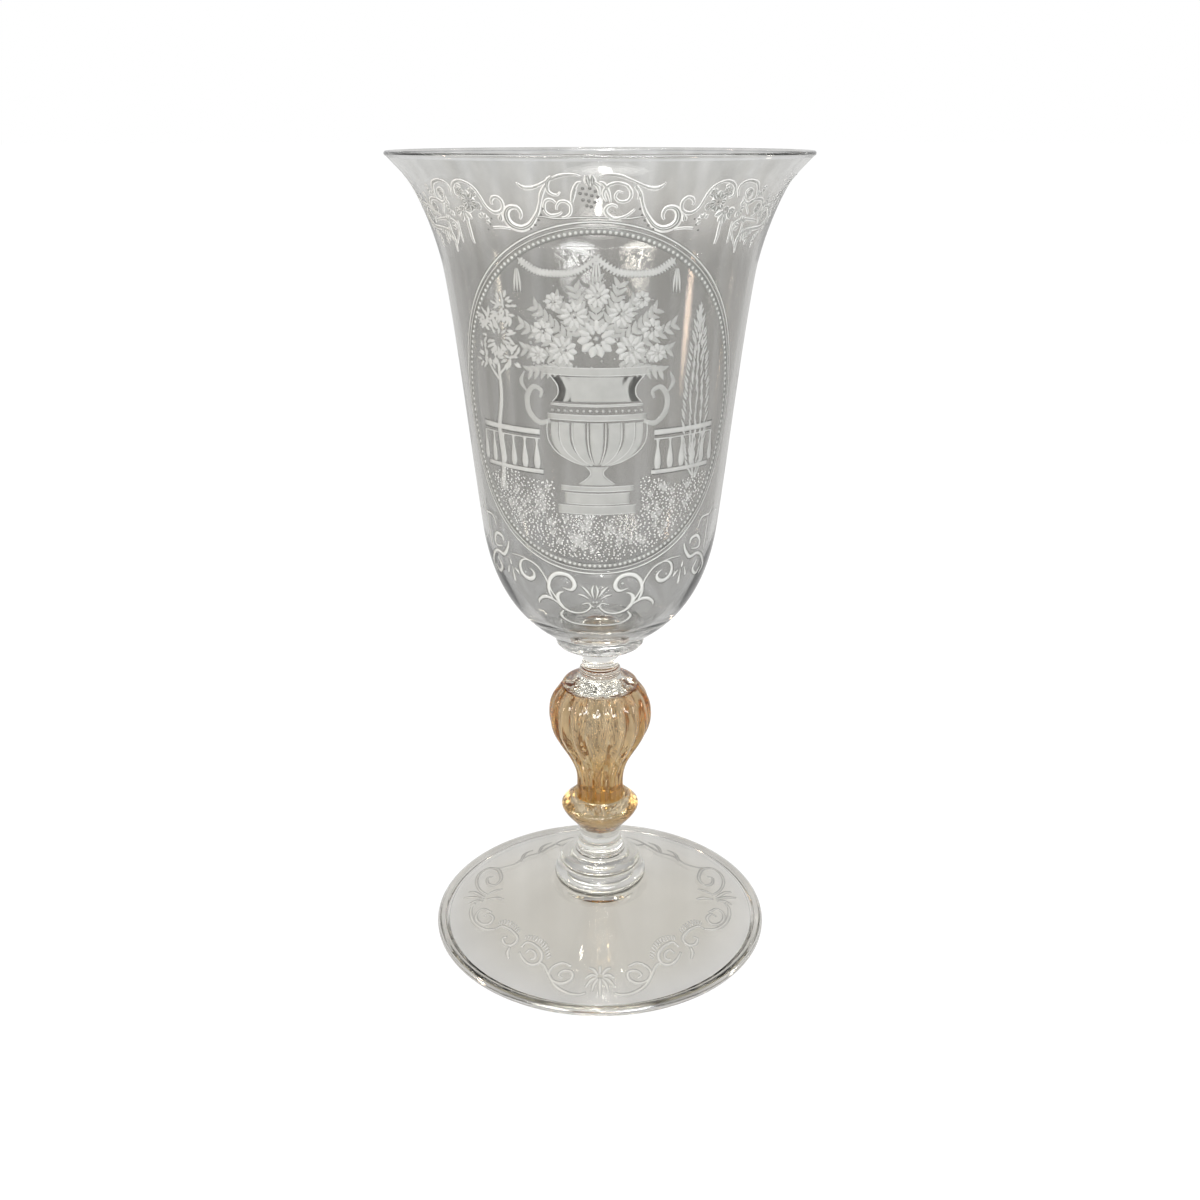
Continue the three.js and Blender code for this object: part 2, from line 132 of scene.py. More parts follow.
def empty_material(name):
    """A new material with nothing in its node tree, and that tree."""
    material = bpy.data.materials.new(name)
    material.use_nodes = True
    material.node_tree.nodes.clear()
    return material, material.node_tree


world = bpy.data.worlds.new("studio room")
world.use_nodes = True
room = world.node_tree
room.nodes.clear()
way = add(room, "SeparateXYZ", _0=add(room, "TexCoord").outputs["Generated"]).outputs
overhead = ramp(room, way["Z"], 0.4, 0.8, interpolation_type="SMOOTHSTEP")
walls = mixed(room, overhead, WALL_GREY, CEILING_GREY)
behind = ramp(room, way["Y"], -0.15, -0.55, interpolation_type="SMOOTHSTEP")
raised = ramp(room, way["Z"], 0.1, 0.3, interpolation_type="SMOOTHSTEP")
behind_high = add(room, "Math", operation="MULTIPLY", _0=behind, _1=raised)
all_sides = mixed(room, behind_high, walls, BEHIND_GREY)
backdrop = mixed(room, add(room, "LightPath").outputs["Is Camera Ray"], all_sides, WHITE)
shown = add(room, "Background", Color=backdrop, Strength=1.0)
light = add(room, "Background", Color=WHITE, Strength=ROOM_LIGHT)
choice = add(room, "MixShader", Fac=room_seen(room), _1=light, _2=shown)
add(room, "OutputWorld", Surface=choice)
bpy.context.scene.world = world


def softbox(name, place, size, strength, colour=(1, 1, 1)):
    """An oval lamp at a place, facing the middle of the bowl, of a given surface brightness.
    Three sheets of falling size, one before the other, make it fade towards its edge."""
    towards = np.array(LAMP_AIM) - np.array(place)
    level = math.hypot(towards[0], towards[1])
    for sheet, share in enumerate(LAMP_SHEETS):
        lamp = bpy.data.lights.new(f"{name}_{sheet}", "AREA")
        lamp.shape = "ELLIPSE"
        lamp.size, lamp.size_y = size[0] * share, size[1] * share
        lamp.energy = strength / len(LAMP_SHEETS) * math.pi**2 / 4 * lamp.size * lamp.size_y
        lamp.color = colour
        box = placed(lamp.name, lamp)
        box.location = np.array(place) + towards * SHEET_GAP * sheet
        box.rotation_euler = (math.atan2(level, -towards[2]), 0, math.atan2(-towards[0], towards[1]))


softbox("front_softbox", (0.0, -1.42, 1.10), (1.1, 0.44), 7.0)
softbox("left_window", (-0.74, -1.18, 0.61), (0.80, 0.36), 22.0, (1.0, 0.98, 0.92))
softbox("right_window", (0.46, -1.31, 0.61), (1.00, 0.38), 20.0, (0.93, 0.96, 1.0))
softbox("overhead_lamp", (0.07, 0.50, 1.60), (0.05, 0.05), 45.0, (1.0, 0.94, 0.86))
softbox("overhead_lamp_2", (-0.05, 0.58, 1.60), (0.05, 0.05), 60.0, (1.0, 0.94, 0.86))
softbox("ceiling_lamp", (-0.06, -0.42, 1.60), (0.14, 0.50), 30.0)
softbox("ceiling_cloth", (-0.06, -0.42, 1.61), (0.9, 0.7), 4.0)
softbox("key_lamp", (0.02, -0.95, 1.05), (0.13, 0.13), 50.0)
softbox("left_strip", (-1.49, -0.18, 0.36), (0.18, 0.38), 24.0, (1.0, 0.76, 0.60))
softbox("right_strip", (1.49, 0.14, 0.36), (0.16, 0.38), 15.0, (1.0, 0.93, 0.80))

table_mesh = bpy.data.meshes.new("table")
turn = np.linspace(0, 2 * np.pi, TABLE_SIDES, endpoint=False)
rim = np.column_stack([np.cos(turn), np.sin(turn), 0 * turn]) * TABLE_RADIUS
table_mesh.from_pydata(rim.tolist(), [], [list(range(TABLE_SIDES))])
table = placed("table", table_mesh)
table.location.z = -TABLE_DROP
# To the camera the table glows plain white. Through or off the glass it glows darker, in faint warm
# and cool streaks: painted shade and painted streaky reflections. The streaks fan out from below the
# camera, and fade into one even tone towards it.
table_material, table_nodes = empty_material("white table with painted streaks")
spot = add(table_nodes, "SeparateXYZ", _0=add(table_nodes, "TexCoord").outputs["Object"]).outputs
far = add(table_nodes, "Math", _0=spot["Y"], _1=0.6)
fan = add(table_nodes, "Math", operation="DIVIDE", _0=spot["X"], _1=far)
bands = add(table_nodes, "TexNoise", Vector=add(table_nodes, "CombineXYZ", X=fan), Scale=TABLE_STREAKS, Detail=3.0)
spread_out = ramp(table_nodes, bands, 0.32, 0.68)
near = ramp(table_nodes, spot["Y"], -0.06, 0.16)
calm = add(table_nodes, "Mix", Factor=near, A=0.62, B=spread_out)
painted_streaks = mixed(table_nodes, calm, TABLE_GLASS_SHADE_WARM, TABLE_GLASS_SHADE_COOL)
glow_tone = mixed(table_nodes, add(table_nodes, "LightPath").outputs["Is Camera Ray"], painted_streaks, WHITE)
glow = add(table_nodes, "Emission", Color=glow_tone, Strength=TABLE_GLOW)
white = add(table_nodes, "AddShader", _0=add(table_nodes, "BsdfDiffuse", Color=TABLE_SHADE), _1=glow)
plain = add(table_nodes, "BsdfDiffuse", Color=TABLE_COLOUR)
add(table_nodes, "OutputMaterial", Surface=add(table_nodes, "MixShader", Fac=room_seen(table_nodes), _1=plain, _2=white))
table_mesh.materials.append(table_material)


# Foot. A low hollow cone of clear glass, spun out of a gather and folded under at the rim: the edge
# is a thick round roll with a thin gap in the fold. The collars are fused on the seat in its middle.
FOOT_RADIUS = 71.8
FOOT_RIM_HEIGHT = 3.6
FOOT_RIM_WIDTH = 5.6
FOLD_EDGE = 67.0
FOLD_LINE = 68.4
FOOT_STAND_OUTER = 70.4
FOOT_STAND_INNER = 67.8
FOOT_WALL = 3.2
FOOT_HOLLOW_TOP = 14.3
FOOT_HOLLOW_FLAT = 0.6
FOOT_SEAT_HEIGHT = 19.8
FOOT_SEAT_RADIUS = 18.2
FOOT_SEAT_SHOULDER = 1.2
HAIRLINE = 0.005
MILLIMETRE = 0.001
AROUND = 192
TOP_TONE_HEIGHT = 0.33
DRAWN_OUT = 0.06
WEAR_GRAIN = 900.0
CREASE = math.radians(32)
SAME_POINT = 0.0005
CONE_RIM_LEAN = -76
CONE_SEAT_LEAN = -67


def bend(start, start_lean, start_pull, end, end_lean, end_pull, count=16):
    """Cubic curve between two outline points. It leaves and arrives along leans in degrees from the
    vertical, outwards, and its two inner control points are the ends moved by the pulls."""
    start, end = np.array(start, float), np.array(end, float)
    a, b = np.radians(start_lean), np.radians(end_lean)
    leave = start + start_pull * np.array([np.sin(a), np.cos(a)])
    arrive = end - end_pull * np.array([np.sin(b), np.cos(b)])
    t = np.linspace(0, 1, count + 1)[:, None]
    return (1 - t)**3 * start + 3 * t * (1 - t)**2 * leave + 3 * t**2 * (1 - t) * arrive + t**3 * end


def arc(centre, across, up, first, last, count=10):
    """Part of an ellipse about an outline point, between two angles in degrees from the radius."""
    t = np.radians(np.linspace(first, last, count + 1))
    return np.column_stack([centre[0] + across * np.cos(t), centre[1] + up * np.sin(t)])


def outline_of(*stretches):
    """Stretches of an outline joined end to end, without the points that repeat. The second result
    is 1 for a step that is a fused joint: such a stretch is given as a tuple ("joint", points)."""
    points, fused = [], []
    for stretch in stretches:
        joint = isinstance(stretch, tuple) and stretch[0] == "joint"
        for p in np.atleast_2d(stretch[1] if joint else stretch):
            if points and np.hypot(*(p - points[-1])) < SAME_POINT:
                continue
            points.append(np.array(p, float))
            fused.append(1.0 if joint else 0.0)
    return np.array(points), np.array(fused[1:])


def glass_piece(name, node, outline, fused, base, slot, material, around=AROUND, radius_at=None):
    """A closed surface of revolution: ring i has the outline's radius and height, and its points lie
    at even turns about Z. radius_at(radii, heights, turns) may press the rings out of round."""
    height = outline[:, 1] + base
    on_axis = outline[:, 0] < 1e-6
    turns = np.arange(around) * 2 * np.pi / around - np.pi / 2
    radii = np.repeat(outline[:, :1], around, 1)
    if radius_at is not None:
        radii = radius_at(radii, outline[:, 1:], turns[None, :])
    heights = np.repeat(height[:, None], around, 1)
    grid = np.stack([radii * np.cos(turns), radii * np.sin(turns), heights], 2)
    keep = np.ones(grid.shape[:2], bool)
    keep[on_axis, 1:] = False
    index = np.cumsum(keep.ravel()).reshape(keep.shape) - 1
    index[on_axis] = index[on_axis, :1]
    ahead = np.roll(index, -1, 1)
    quads = np.stack([index[:-1], ahead[:-1], ahead[1:], index[1:]], 2)
    joints = np.repeat(fused[:, None], around, 1)
    faces, joint_faces = [], []
    for row, marks in zip(quads, joints):
        tip = row[0, 0] == row[0, 1] or row[0, 2] == row[0, 3]
        corners = [0, 2, 3] if row[0, 0] == row[0, 1] else [0, 1, 2]
        faces.extend((row[:, corners] if tip else row).tolist())
        joint_faces.extend(marks)
    mesh = bpy.data.meshes.new(name)
    mesh.from_pydata((grid[keep] * MILLIMETRE).tolist(), [], faces)
    mark = mesh.attributes.new("fused", "FLOAT", "FACE")
    mark.data.foreach_set("value", np.array(joint_faces, np.float32))
    mesh.polygons.foreach_set("use_smooth", np.ones(len(faces), bool))
    mesh.set_sharp_from_angle(angle=CREASE)
    mesh.materials.append(material)
    piece = placed(name, mesh)
    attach(piece, "root")
    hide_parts(node)


def glass(name, tones, absorbed, ripple=0.02, ripple_size=40.0, streak=0.04, streak_size=110.0,
          drawn=False):
    """Fire-polished glass. Light loses a tint at the surface, given as tones at heights in metres and
    drawn out into slow upright streaks, and is absorbed along its way inside, by a rate per metre for
    red, green and blue. The bowl's tones also paint shade and light by height. Ripples of the surface
    are a bump, a faint haze of wear is roughness, and faces marked fused are not there for light."""
    material, tree = empty_material(name)
    place = add(tree, "TexCoord").outputs["Object"]
    height = add(tree, "SeparateXYZ", _0=place).outputs["Z"]
    tone = add(tree, "ValToRGB", Fac=ramp(tree, height, 0.0, TOP_TONE_HEIGHT))
    stops = tone.color_ramp.elements
    while len(stops) < len(tones):
        stops.new(1.0)
    for stop, (stop_height, tint) in zip(stops, tones):
        stop.position = stop_height / TOP_TONE_HEIGHT
        stop.color = (*tint, 1)
    upright = add(tree, "Mapping", Vector=place, Scale=(1, 1, DRAWN_OUT))
    streaks = add(tree, "TexNoise", Vector=upright, Scale=streak_size, Detail=2.0, Roughness=0.6)
    strength = ramp(tree, streaks, 0.3, 0.7, To_Min=1 - streak, To_Max=1 + 0.8 * streak)
    tint_and_painted_shade = add(tree, "VectorMath", operation="SCALE", _0=tone, Scale=strength)
    wave = add(tree, "TexNoise", Vector=upright if drawn else place, Scale=ripple_size, Detail=2.0,
               Roughness=0.45)
    swell = add(tree, "Bump", Strength=ripple, Distance=0.002, Height=wave)
    wear = add(tree, "TexNoise", Vector=place, Scale=WEAR_GRAIN, Detail=3.0)
    haze = ramp(tree, wear, 0.45, 0.8, To_Max=0.02)
    skin = add(tree, "BsdfPrincipled", IOR=1.5, Transmission_Weight=1.0, Base_Color=tint_and_painted_shade, Roughness=haze,
               Normal=swell)
    joint = add(tree, "MixShader", Fac=add(tree, "Attribute", attribute_name="fused").outputs["Fac"],
                _1=skin, _2=add(tree, "BsdfTransparent", Color=WHITE))
    rate = max(absorbed)
    inside = add(tree, "VolumeAbsorption", Density=rate, Color=(*(1 - a / rate for a in absorbed), 1))
    add(tree, "OutputMaterial", Surface=joint, Volume=inside)
    return material


foot_glass = glass("foot glass", [(0.003, (0.95, 0.94, 0.92)), (0.0055, (0.892, 0.864, 0.80))],
                   (2.5, 2.9, 4.4), 0.06, 30.0, 0.05, 24.0)
clear_glass = glass("thick clear glass", [(0.0, (0.93, 0.93, 0.915))], (2.0, 2.1, 2.8), 0.03, 60.0)

seat_edge = FOOT_SEAT_RADIUS + FOOT_SEAT_SHOULDER
cone_start = (FOOT_RADIUS - FOOT_RIM_WIDTH, FOOT_RIM_HEIGHT)
cone_end = (seat_edge, FOOT_SEAT_HEIGHT - FOOT_SEAT_SHOULDER / 2)
cone_pull = (cone_start[0] - cone_end[0]) / 3
foot_cone = bend(cone_start, CONE_RIM_LEAN, cone_pull, cone_end, CONE_SEAT_LEAN, cone_pull, 48)
half_rim = FOOT_RIM_HEIGHT / 2
foot_outline = outline_of(
    (0, FOOT_HOLLOW_TOP),
    (FOOT_SEAT_RADIUS * FOOT_HOLLOW_FLAT, FOOT_HOLLOW_TOP),
    (foot_cone[:-1] - [0, FOOT_WALL])[::-1],
    [(FOLD_EDGE - 0.5, 1.5), (FOLD_EDGE + 1.8, 1.9), (FOLD_EDGE + 3.5, 2.6)],
    [(FOLD_EDGE + 1.9, 1.82), (FOLD_EDGE + 0.1, 1.4), (FOLD_EDGE, 0.6)],
    (FOOT_STAND_INNER, 0),
    (FOOT_STAND_OUTER, 0),
    arc((FOOT_RADIUS - half_rim, half_rim), half_rim, half_rim, -50, 90, 14),
    [(FOLD_LINE + 0.5, FOOT_RIM_HEIGHT), (FOLD_LINE, FOOT_RIM_HEIGHT - 0.3),
     (FOLD_LINE - 0.5, FOOT_RIM_HEIGHT)],
    foot_cone,
    (FOOT_SEAT_RADIUS, FOOT_SEAT_HEIGHT - HAIRLINE),
    ("joint", (0, FOOT_SEAT_HEIGHT - HAIRLINE)),
)
glass_piece("foot_glass", "foot", *foot_outline, 0, "engraved_clear_glass", foot_glass, 256)


# Collars. Two solid rounds of clear glass pressed one on the other on the foot: the lower one
# bulges evenly, the upper one has a round edge and then sweeps up as a dome into the neck.
LOWER_STEP_HEIGHT = 7.8
LOWER_STEP_BULGE = 1.6
LOWER_STEP_BULGE_HEIGHT = 3.9
UPPER_SEAT_RADIUS = 16.0
UPPER_STEP_HEIGHT = 7.2
UPPER_STEP_BULGE = 1.3
UPPER_STEP_BULGE_HEIGHT = 2.1
NECK_SEAT_RADIUS = 10.8


def fused_round(seat, top, *stretches):
    """The outline of a round that is fused to its neighbours by its underside, out to the seat
    radius, and by all of its top face."""
    return outline_of(
        ("joint", [(0, HAIRLINE), (seat, HAIRLINE)]), *stretches, ("joint", (0, top - HAIRLINE)))


lower_base = FOOT_SEAT_HEIGHT
widest = (FOOT_SEAT_RADIUS + LOWER_STEP_BULGE, LOWER_STEP_BULGE_HEIGHT)
top_edge = (UPPER_SEAT_RADIUS, LOWER_STEP_HEIGHT - HAIRLINE)
lower_rise = LOWER_STEP_HEIGHT - LOWER_STEP_BULGE_HEIGHT
lower_outline = fused_round(
    FOOT_SEAT_RADIUS, LOWER_STEP_HEIGHT,
    bend((FOOT_SEAT_RADIUS, HAIRLINE), 50, 1.2, widest, 0, LOWER_STEP_BULGE_HEIGHT / 2),
    bend(widest, 0, lower_rise / 2, top_edge, -80, (widest[0] - top_edge[0]) / 2))
glass_piece("lower_collar", "lower_step", *lower_outline, lower_base, "clear_glass", clear_glass)

upper_base = lower_base + LOWER_STEP_HEIGHT
widest = (UPPER_SEAT_RADIUS + UPPER_STEP_BULGE, UPPER_STEP_BULGE_HEIGHT)
top_edge = (NECK_SEAT_RADIUS, UPPER_STEP_HEIGHT - HAIRLINE)
dome_edge = ((widest[0] + top_edge[0]) / 2, (widest[1] + UPPER_STEP_HEIGHT) / 2)
dome_rise = dome_edge[1] - widest[1]
upper_outline = fused_round(
    UPPER_SEAT_RADIUS, UPPER_STEP_HEIGHT,
    bend((UPPER_SEAT_RADIUS, HAIRLINE), 60, 1, widest, 0, UPPER_STEP_BULGE_HEIGHT / 2),
    bend(widest, 0, dome_rise / 2, dome_edge, -70, (widest[0] - dome_edge[0]) / 2),
    bend(dome_edge, -70, 1, top_edge, -25, dome_rise / 2))
glass_piece("upper_collar", "upper_step", *upper_outline, upper_base, "clear_glass", clear_glass)


# Neck and button. A short solid cylinder that flares into a groove at its foot, and above it a
# small disc with a rounded side. Both are clear glass, fused.
NECK_RADIUS = 9.6
NECK_FILLET = 1.3
NECK_HEIGHT = 5.4
BUTTON_SEAT_RADIUS = 8.0
BUTTON_HEIGHT = 5.5
BUTTON_BULGE = 0.8
RING_SEAT_RADIUS = 8.9

neck_base = upper_base + UPPER_STEP_HEIGHT
flare = NECK_SEAT_RADIUS - NECK_RADIUS
round_edge = NECK_RADIUS - BUTTON_SEAT_RADIUS
neck_outline = fused_round(
    NECK_SEAT_RADIUS, NECK_HEIGHT,
    arc((NECK_SEAT_RADIUS, NECK_FILLET), flare, NECK_FILLET - HAIRLINE, 270, 180),
    arc((BUTTON_SEAT_RADIUS, NECK_HEIGHT - round_edge), round_edge, round_edge - HAIRLINE, 0, 90))
glass_piece("lower_neck_glass", "lower_neck", *neck_outline, neck_base, "clear_glass", clear_glass)

button_base = neck_base + NECK_HEIGHT
button_outline = fused_round(
    BUTTON_SEAT_RADIUS, BUTTON_HEIGHT,
    bend((BUTTON_SEAT_RADIUS, HAIRLINE), 45, BUTTON_BULGE * 2,
         (RING_SEAT_RADIUS, BUTTON_HEIGHT - HAIRLINE), -10, BUTTON_BULGE * 2, 20))
glass_piece("button", "lower_button", *button_outline, button_base, "clear_glass", clear_glass)


# Ring knop. A wide ring of straw-tinted glass with a blunt edge. The tail of the ribbed knop
# stands in a pocket in its top, with air caught in the grooves.
RING_RADIUS = 16.4
RING_LOWER_HEIGHT = 10.6
RING_UPPER_HEIGHT = 4.6
RING_LIP_RADIUS = 12.05
POCKET_RADIUS = 10.85
POCKET_DEPTH = 6.6
TAIL_RADIUS = 10.5

straw_glass = glass("straw glass", [(0.0, (0.81, 0.72, 0.57))], (12.0, 21.0, 40.0),
                    0.40, 230.0, 0.15, 300.0)
ring_base = button_base + BUTTON_HEIGHT
ring_top = RING_LOWER_HEIGHT + RING_UPPER_HEIGHT
pocket_floor = ring_top - POCKET_DEPTH
ring_outline = fused_round(
    RING_SEAT_RADIUS, pocket_floor,
    bend((RING_SEAT_RADIUS, HAIRLINE), 37, RING_LOWER_HEIGHT * 0.42,
         (RING_RADIUS, RING_LOWER_HEIGHT), 0, RING_LOWER_HEIGHT * 0.24, 28),
    bend((RING_RADIUS, RING_LOWER_HEIGHT), 0, RING_UPPER_HEIGHT * 0.3,
         (RING_LIP_RADIUS, ring_top), -45, RING_UPPER_HEIGHT * 0.45, 20),
    (POCKET_RADIUS, ring_top),
    (POCKET_RADIUS, pocket_floor - HAIRLINE))
glass_piece("ring", "ring_knop", *ring_outline, ring_base, "straw_glass", straw_glass)


# Ribbed knop. A hollow pear of amber glass blown into a mould with sixteen ribs, which run from
# its mouth down to its tail. The grooves are deepest at the belly.
RIBS = 16
FIRST_RIB_TURN = math.radians(-4)
WAIST_RADIUS = 9.75
WAIST_HEIGHT = 12.8
BELLY_RADIUS = 21.4
BELLY_HEIGHT = 44.0
KNOP_HEIGHT = 57.2
MOUTH_RADIUS = 16.4
RIB_DEPTH = 1.7
TAIL_RIB_DEPTH = 1.5
MOUTH_RIB_DEPTH = 0.8
CAVITY_RADIUS = 15.4
CAVITY_MOUTH_RADIUS = 10.4
CAVITY_WAIST_RADIUS = 4.6
CAVITY_FLOOR = 7.5
SHOULDER_RADIUS = 15.5
SHOULDER_WELD_RADIUS = 13.2

amber_glass = glass("amber glass", [
    (0.054, (0.78, 0.59, 0.34)), (0.063, (0.93, 0.82, 0.60)), (0.076, (0.93, 0.84, 0.67)),
    (0.088, (0.92, 0.88, 0.79)), (0.096, (0.85, 0.82, 0.78))],
    (20.0, 39.0, 76.0), 0.18, 420.0, 0.36, 380.0, True)
knop_base = ring_base + pocket_floor
belly_rise = BELLY_HEIGHT - WAIST_HEIGHT
crown_rise = KNOP_HEIGHT - BELLY_HEIGHT
crests = np.concatenate([
    bend((TAIL_RADIUS, HAIRLINE), 0, WAIST_HEIGHT * 0.3, (WAIST_RADIUS, WAIST_HEIGHT), 0,
         WAIST_HEIGHT * 0.3, 16),
    bend((WAIST_RADIUS, WAIST_HEIGHT), 0, belly_rise * 0.42, (BELLY_RADIUS, BELLY_HEIGHT), 0,
         belly_rise * 0.36, 32),
    bend((BELLY_RADIUS, BELLY_HEIGHT), 0, crown_rise * 0.45,
         (MOUTH_RADIUS, KNOP_HEIGHT - HAIRLINE), -42, crown_rise * 0.45, 18),
])
cavity = np.concatenate([
    bend((CAVITY_MOUTH_RADIUS, KNOP_HEIGHT - HAIRLINE), 130, crown_rise * 0.3,
         (CAVITY_RADIUS, BELLY_HEIGHT), 180, crown_rise * 0.3, 14),
    bend((CAVITY_RADIUS, BELLY_HEIGHT), 180, belly_rise * 0.3,
         (CAVITY_WAIST_RADIUS, WAIST_HEIGHT), 180, belly_rise * 0.3, 24),
    bend((CAVITY_WAIST_RADIUS, WAIST_HEIGHT), 180, 2.5, (0, CAVITY_FLOOR), -90, 2.2, 8),
])
knop_outline = outline_of(
    ("joint", [(0, HAIRLINE), (TAIL_RADIUS, HAIRLINE)]),
    crests,
    (SHOULDER_RADIUS, KNOP_HEIGHT - HAIRLINE),
    ("joint", (SHOULDER_WELD_RADIUS, KNOP_HEIGHT - HAIRLINE)),
    cavity,
)
crest_rings = np.hypot(*(knop_outline[0][:, None] - crests[None]).transpose(2, 0, 1)).min(1) < 0.01


def smooth(value, low, high):
    """0 below low, 1 above high, and the cubic 3t^2 - 2t^3 between them."""
    t = np.clip((value - low) / (high - low), 0, 1)
    return t * t * (3 - 2 * t)


def between_ribs(radii, heights, turns):
    """Crest radius less the groove's depth times a round trough, 1 - |cos| of half the rib phase."""
    depth = TAIL_RIB_DEPTH + (RIB_DEPTH - TAIL_RIB_DEPTH) * smooth(heights, 0, BELLY_HEIGHT)
    depth = depth + (MOUTH_RIB_DEPTH - depth) * smooth(heights, BELLY_HEIGHT, KNOP_HEIGHT)
    trough = 1 - np.abs(np.cos(RIBS * (turns + np.pi / 2 - FIRST_RIB_TURN) / 2))
    return np.where(crest_rings[:, None], radii - depth * trough, radii)


glass_piece("ribbed_bulb", "ribbed_knop", *knop_outline, knop_base, "amber_glass", amber_glass,
            RIBS * 20, between_ribs)


# Shoulder. A smooth dome, nearly clear, that closes the ribbed bulb with a crisp edge. Two thin
# rings were trailed round its neck.
SHOULDER_EDGE_HEIGHT = 1.6
SHOULDER_DOME_HEIGHT = 5.4
SHOULDER_NECK_RADIUS = 8.0
SHOULDER_RING_BULGE = 0.5
SHOULDER_RING_HEIGHT = 1.5
UPPER_NECK_SEAT_RADIUS = 7.8

shoulder_glass = glass("faint straw glass", [(0.0, (0.82, 0.81, 0.785))], (3.0, 4.5, 9.0),
                       0.16, 200.0, 0.10)
shoulder_base = knop_base + KNOP_HEIGHT
shoulder_height = SHOULDER_DOME_HEIGHT + 2 * SHOULDER_RING_HEIGHT
across = SHOULDER_RADIUS - SHOULDER_NECK_RADIUS
rings = [arc((SHOULDER_NECK_RADIUS, SHOULDER_DOME_HEIGHT + (ring + 0.5) * SHOULDER_RING_HEIGHT),
             SHOULDER_RING_BULGE, SHOULDER_RING_HEIGHT / 2 - HAIRLINE, -90, 90, 10) for ring in (0, 1)]
shoulder_outline = outline_of(
    [(0, HAIRLINE), (SHOULDER_WELD_RADIUS, HAIRLINE)],
    ("joint", (SHOULDER_RADIUS, HAIRLINE)),
    bend((SHOULDER_RADIUS, SHOULDER_EDGE_HEIGHT), -30, across / 3,
         (SHOULDER_NECK_RADIUS, SHOULDER_DOME_HEIGHT), -45, across / 3, 20),
    *rings,
    (UPPER_NECK_SEAT_RADIUS, shoulder_height - HAIRLINE),
    ("joint", (0, shoulder_height - HAIRLINE)),
)
glass_piece("shoulder", "knop_shoulder", *shoulder_outline, shoulder_base, "straw_glass", shoulder_glass)


# Upper neck and disc. A short waisted neck of clear glass, and on it the flat round disc, with a
# rounded edge and a wavy skin, to which the bowl is fused.
UPPER_NECK_WAIST_RADIUS = 7.4
UPPER_NECK_TOP_RADIUS = 8.8
UPPER_NECK_HEIGHT = 8.9
DISC_HEIGHT = 5.2
DISC_UNDERSIDE = (12.4, 0.7)
DISC_WIDEST = (17.9, 3.6)
BOWL_SEAT_RADIUS = 16.4
BOWL_WELD_RADIUS = 11.0

upper_neck_base = shoulder_base + shoulder_height
half_neck = (UPPER_NECK_WAIST_RADIUS, UPPER_NECK_HEIGHT / 2)
neck_pull = UPPER_NECK_HEIGHT / 6
upper_neck_outline = fused_round(
    UPPER_NECK_SEAT_RADIUS, UPPER_NECK_HEIGHT,
    bend((UPPER_NECK_SEAT_RADIUS, HAIRLINE), -20, neck_pull, half_neck, 0, neck_pull),
    bend(half_neck, 0, neck_pull, (UPPER_NECK_TOP_RADIUS, UPPER_NECK_HEIGHT - HAIRLINE), 40, neck_pull))
glass_piece("upper_neck_glass", "upper_neck", *upper_neck_outline, upper_neck_base, "clear_glass",
            clear_glass)

disc_base = upper_neck_base + UPPER_NECK_HEIGHT
under_rise = DISC_WIDEST[1] - DISC_UNDERSIDE[1]
over_rise = DISC_HEIGHT - DISC_WIDEST[1]
disc_outline = fused_round(
    UPPER_NECK_TOP_RADIUS, DISC_HEIGHT,
    bend(DISC_UNDERSIDE, 78, under_rise, DISC_WIDEST, 0, under_rise / 2),
    bend(DISC_WIDEST, 0, over_rise / 2, (BOWL_SEAT_RADIUS, DISC_HEIGHT - HAIRLINE), -60, over_rise / 3, 8),
    (BOWL_WELD_RADIUS, DISC_HEIGHT - HAIRLINE))
disc_glass = glass("wavy clear glass", [(0.0, (0.90, 0.90, 0.88))], (2.0, 2.1, 2.8), 0.9, 260.0)
glass_piece("disc", "bowl_disc", *disc_outline, disc_base, "clear_glass", disc_glass)


# Bowl. A bell blown thin, thicker in the heel and floor, with a bead melted round the rim. Its
# outline is four smooth stretches: cup, barrel, flare and lip.
BOWL_BELLY = (46.2, 48.8)
BOWL_BELLY_LEAN = 7.0
BOWL_FLARE = (57.4, 146.0)
BOWL_FLARE_LEAN = 9.4
BOWL_LIP = (68.05, 176.4)
BOWL_LIP_LEAN = 29.8
BOWL_RIM = (76.4, 185.8)
BOWL_RIM_LEAN = 42.0
BOWL_WALL = 2.2
BOWL_RIM_WALL = 1.4
BOWL_BEAD_RADIUS = 0.85
BOWL_HEEL_WALL = 3.4
BOWL_HEEL_HEIGHT = 13.0
BOWL_FLOOR = 6.8

# The bowl's tones are a faint grey tint and, by height, painted shade and light: darkest low in the cup,
# lighter just above it, dark over the barrel and pale in the band under the rim.
bowl_glass = glass("thin clear glass with painted shade", [
    (0.136, (0.74, 0.74, 0.73)), (0.156, (0.595, 0.595, 0.585)), (0.168, (0.72, 0.72, 0.715)),
    (0.200, (0.66, 0.655, 0.64)), (0.284, (0.65, 0.645, 0.63)), (0.300, (0.87, 0.86, 0.84)),
    (0.318, (0.90, 0.90, 0.89))], (2.0, 2.1, 2.6), 0.035, 26.0, 0.08)
bowl_base = disc_base + DISC_HEIGHT
barrel_pull = (BOWL_FLARE[1] - BOWL_BELLY[1]) * 0.24
bell_pull = (BOWL_LIP[1] - BOWL_FLARE[1]) * 0.3
lip_pull = (BOWL_RIM[1] - BOWL_LIP[1]) * 0.3
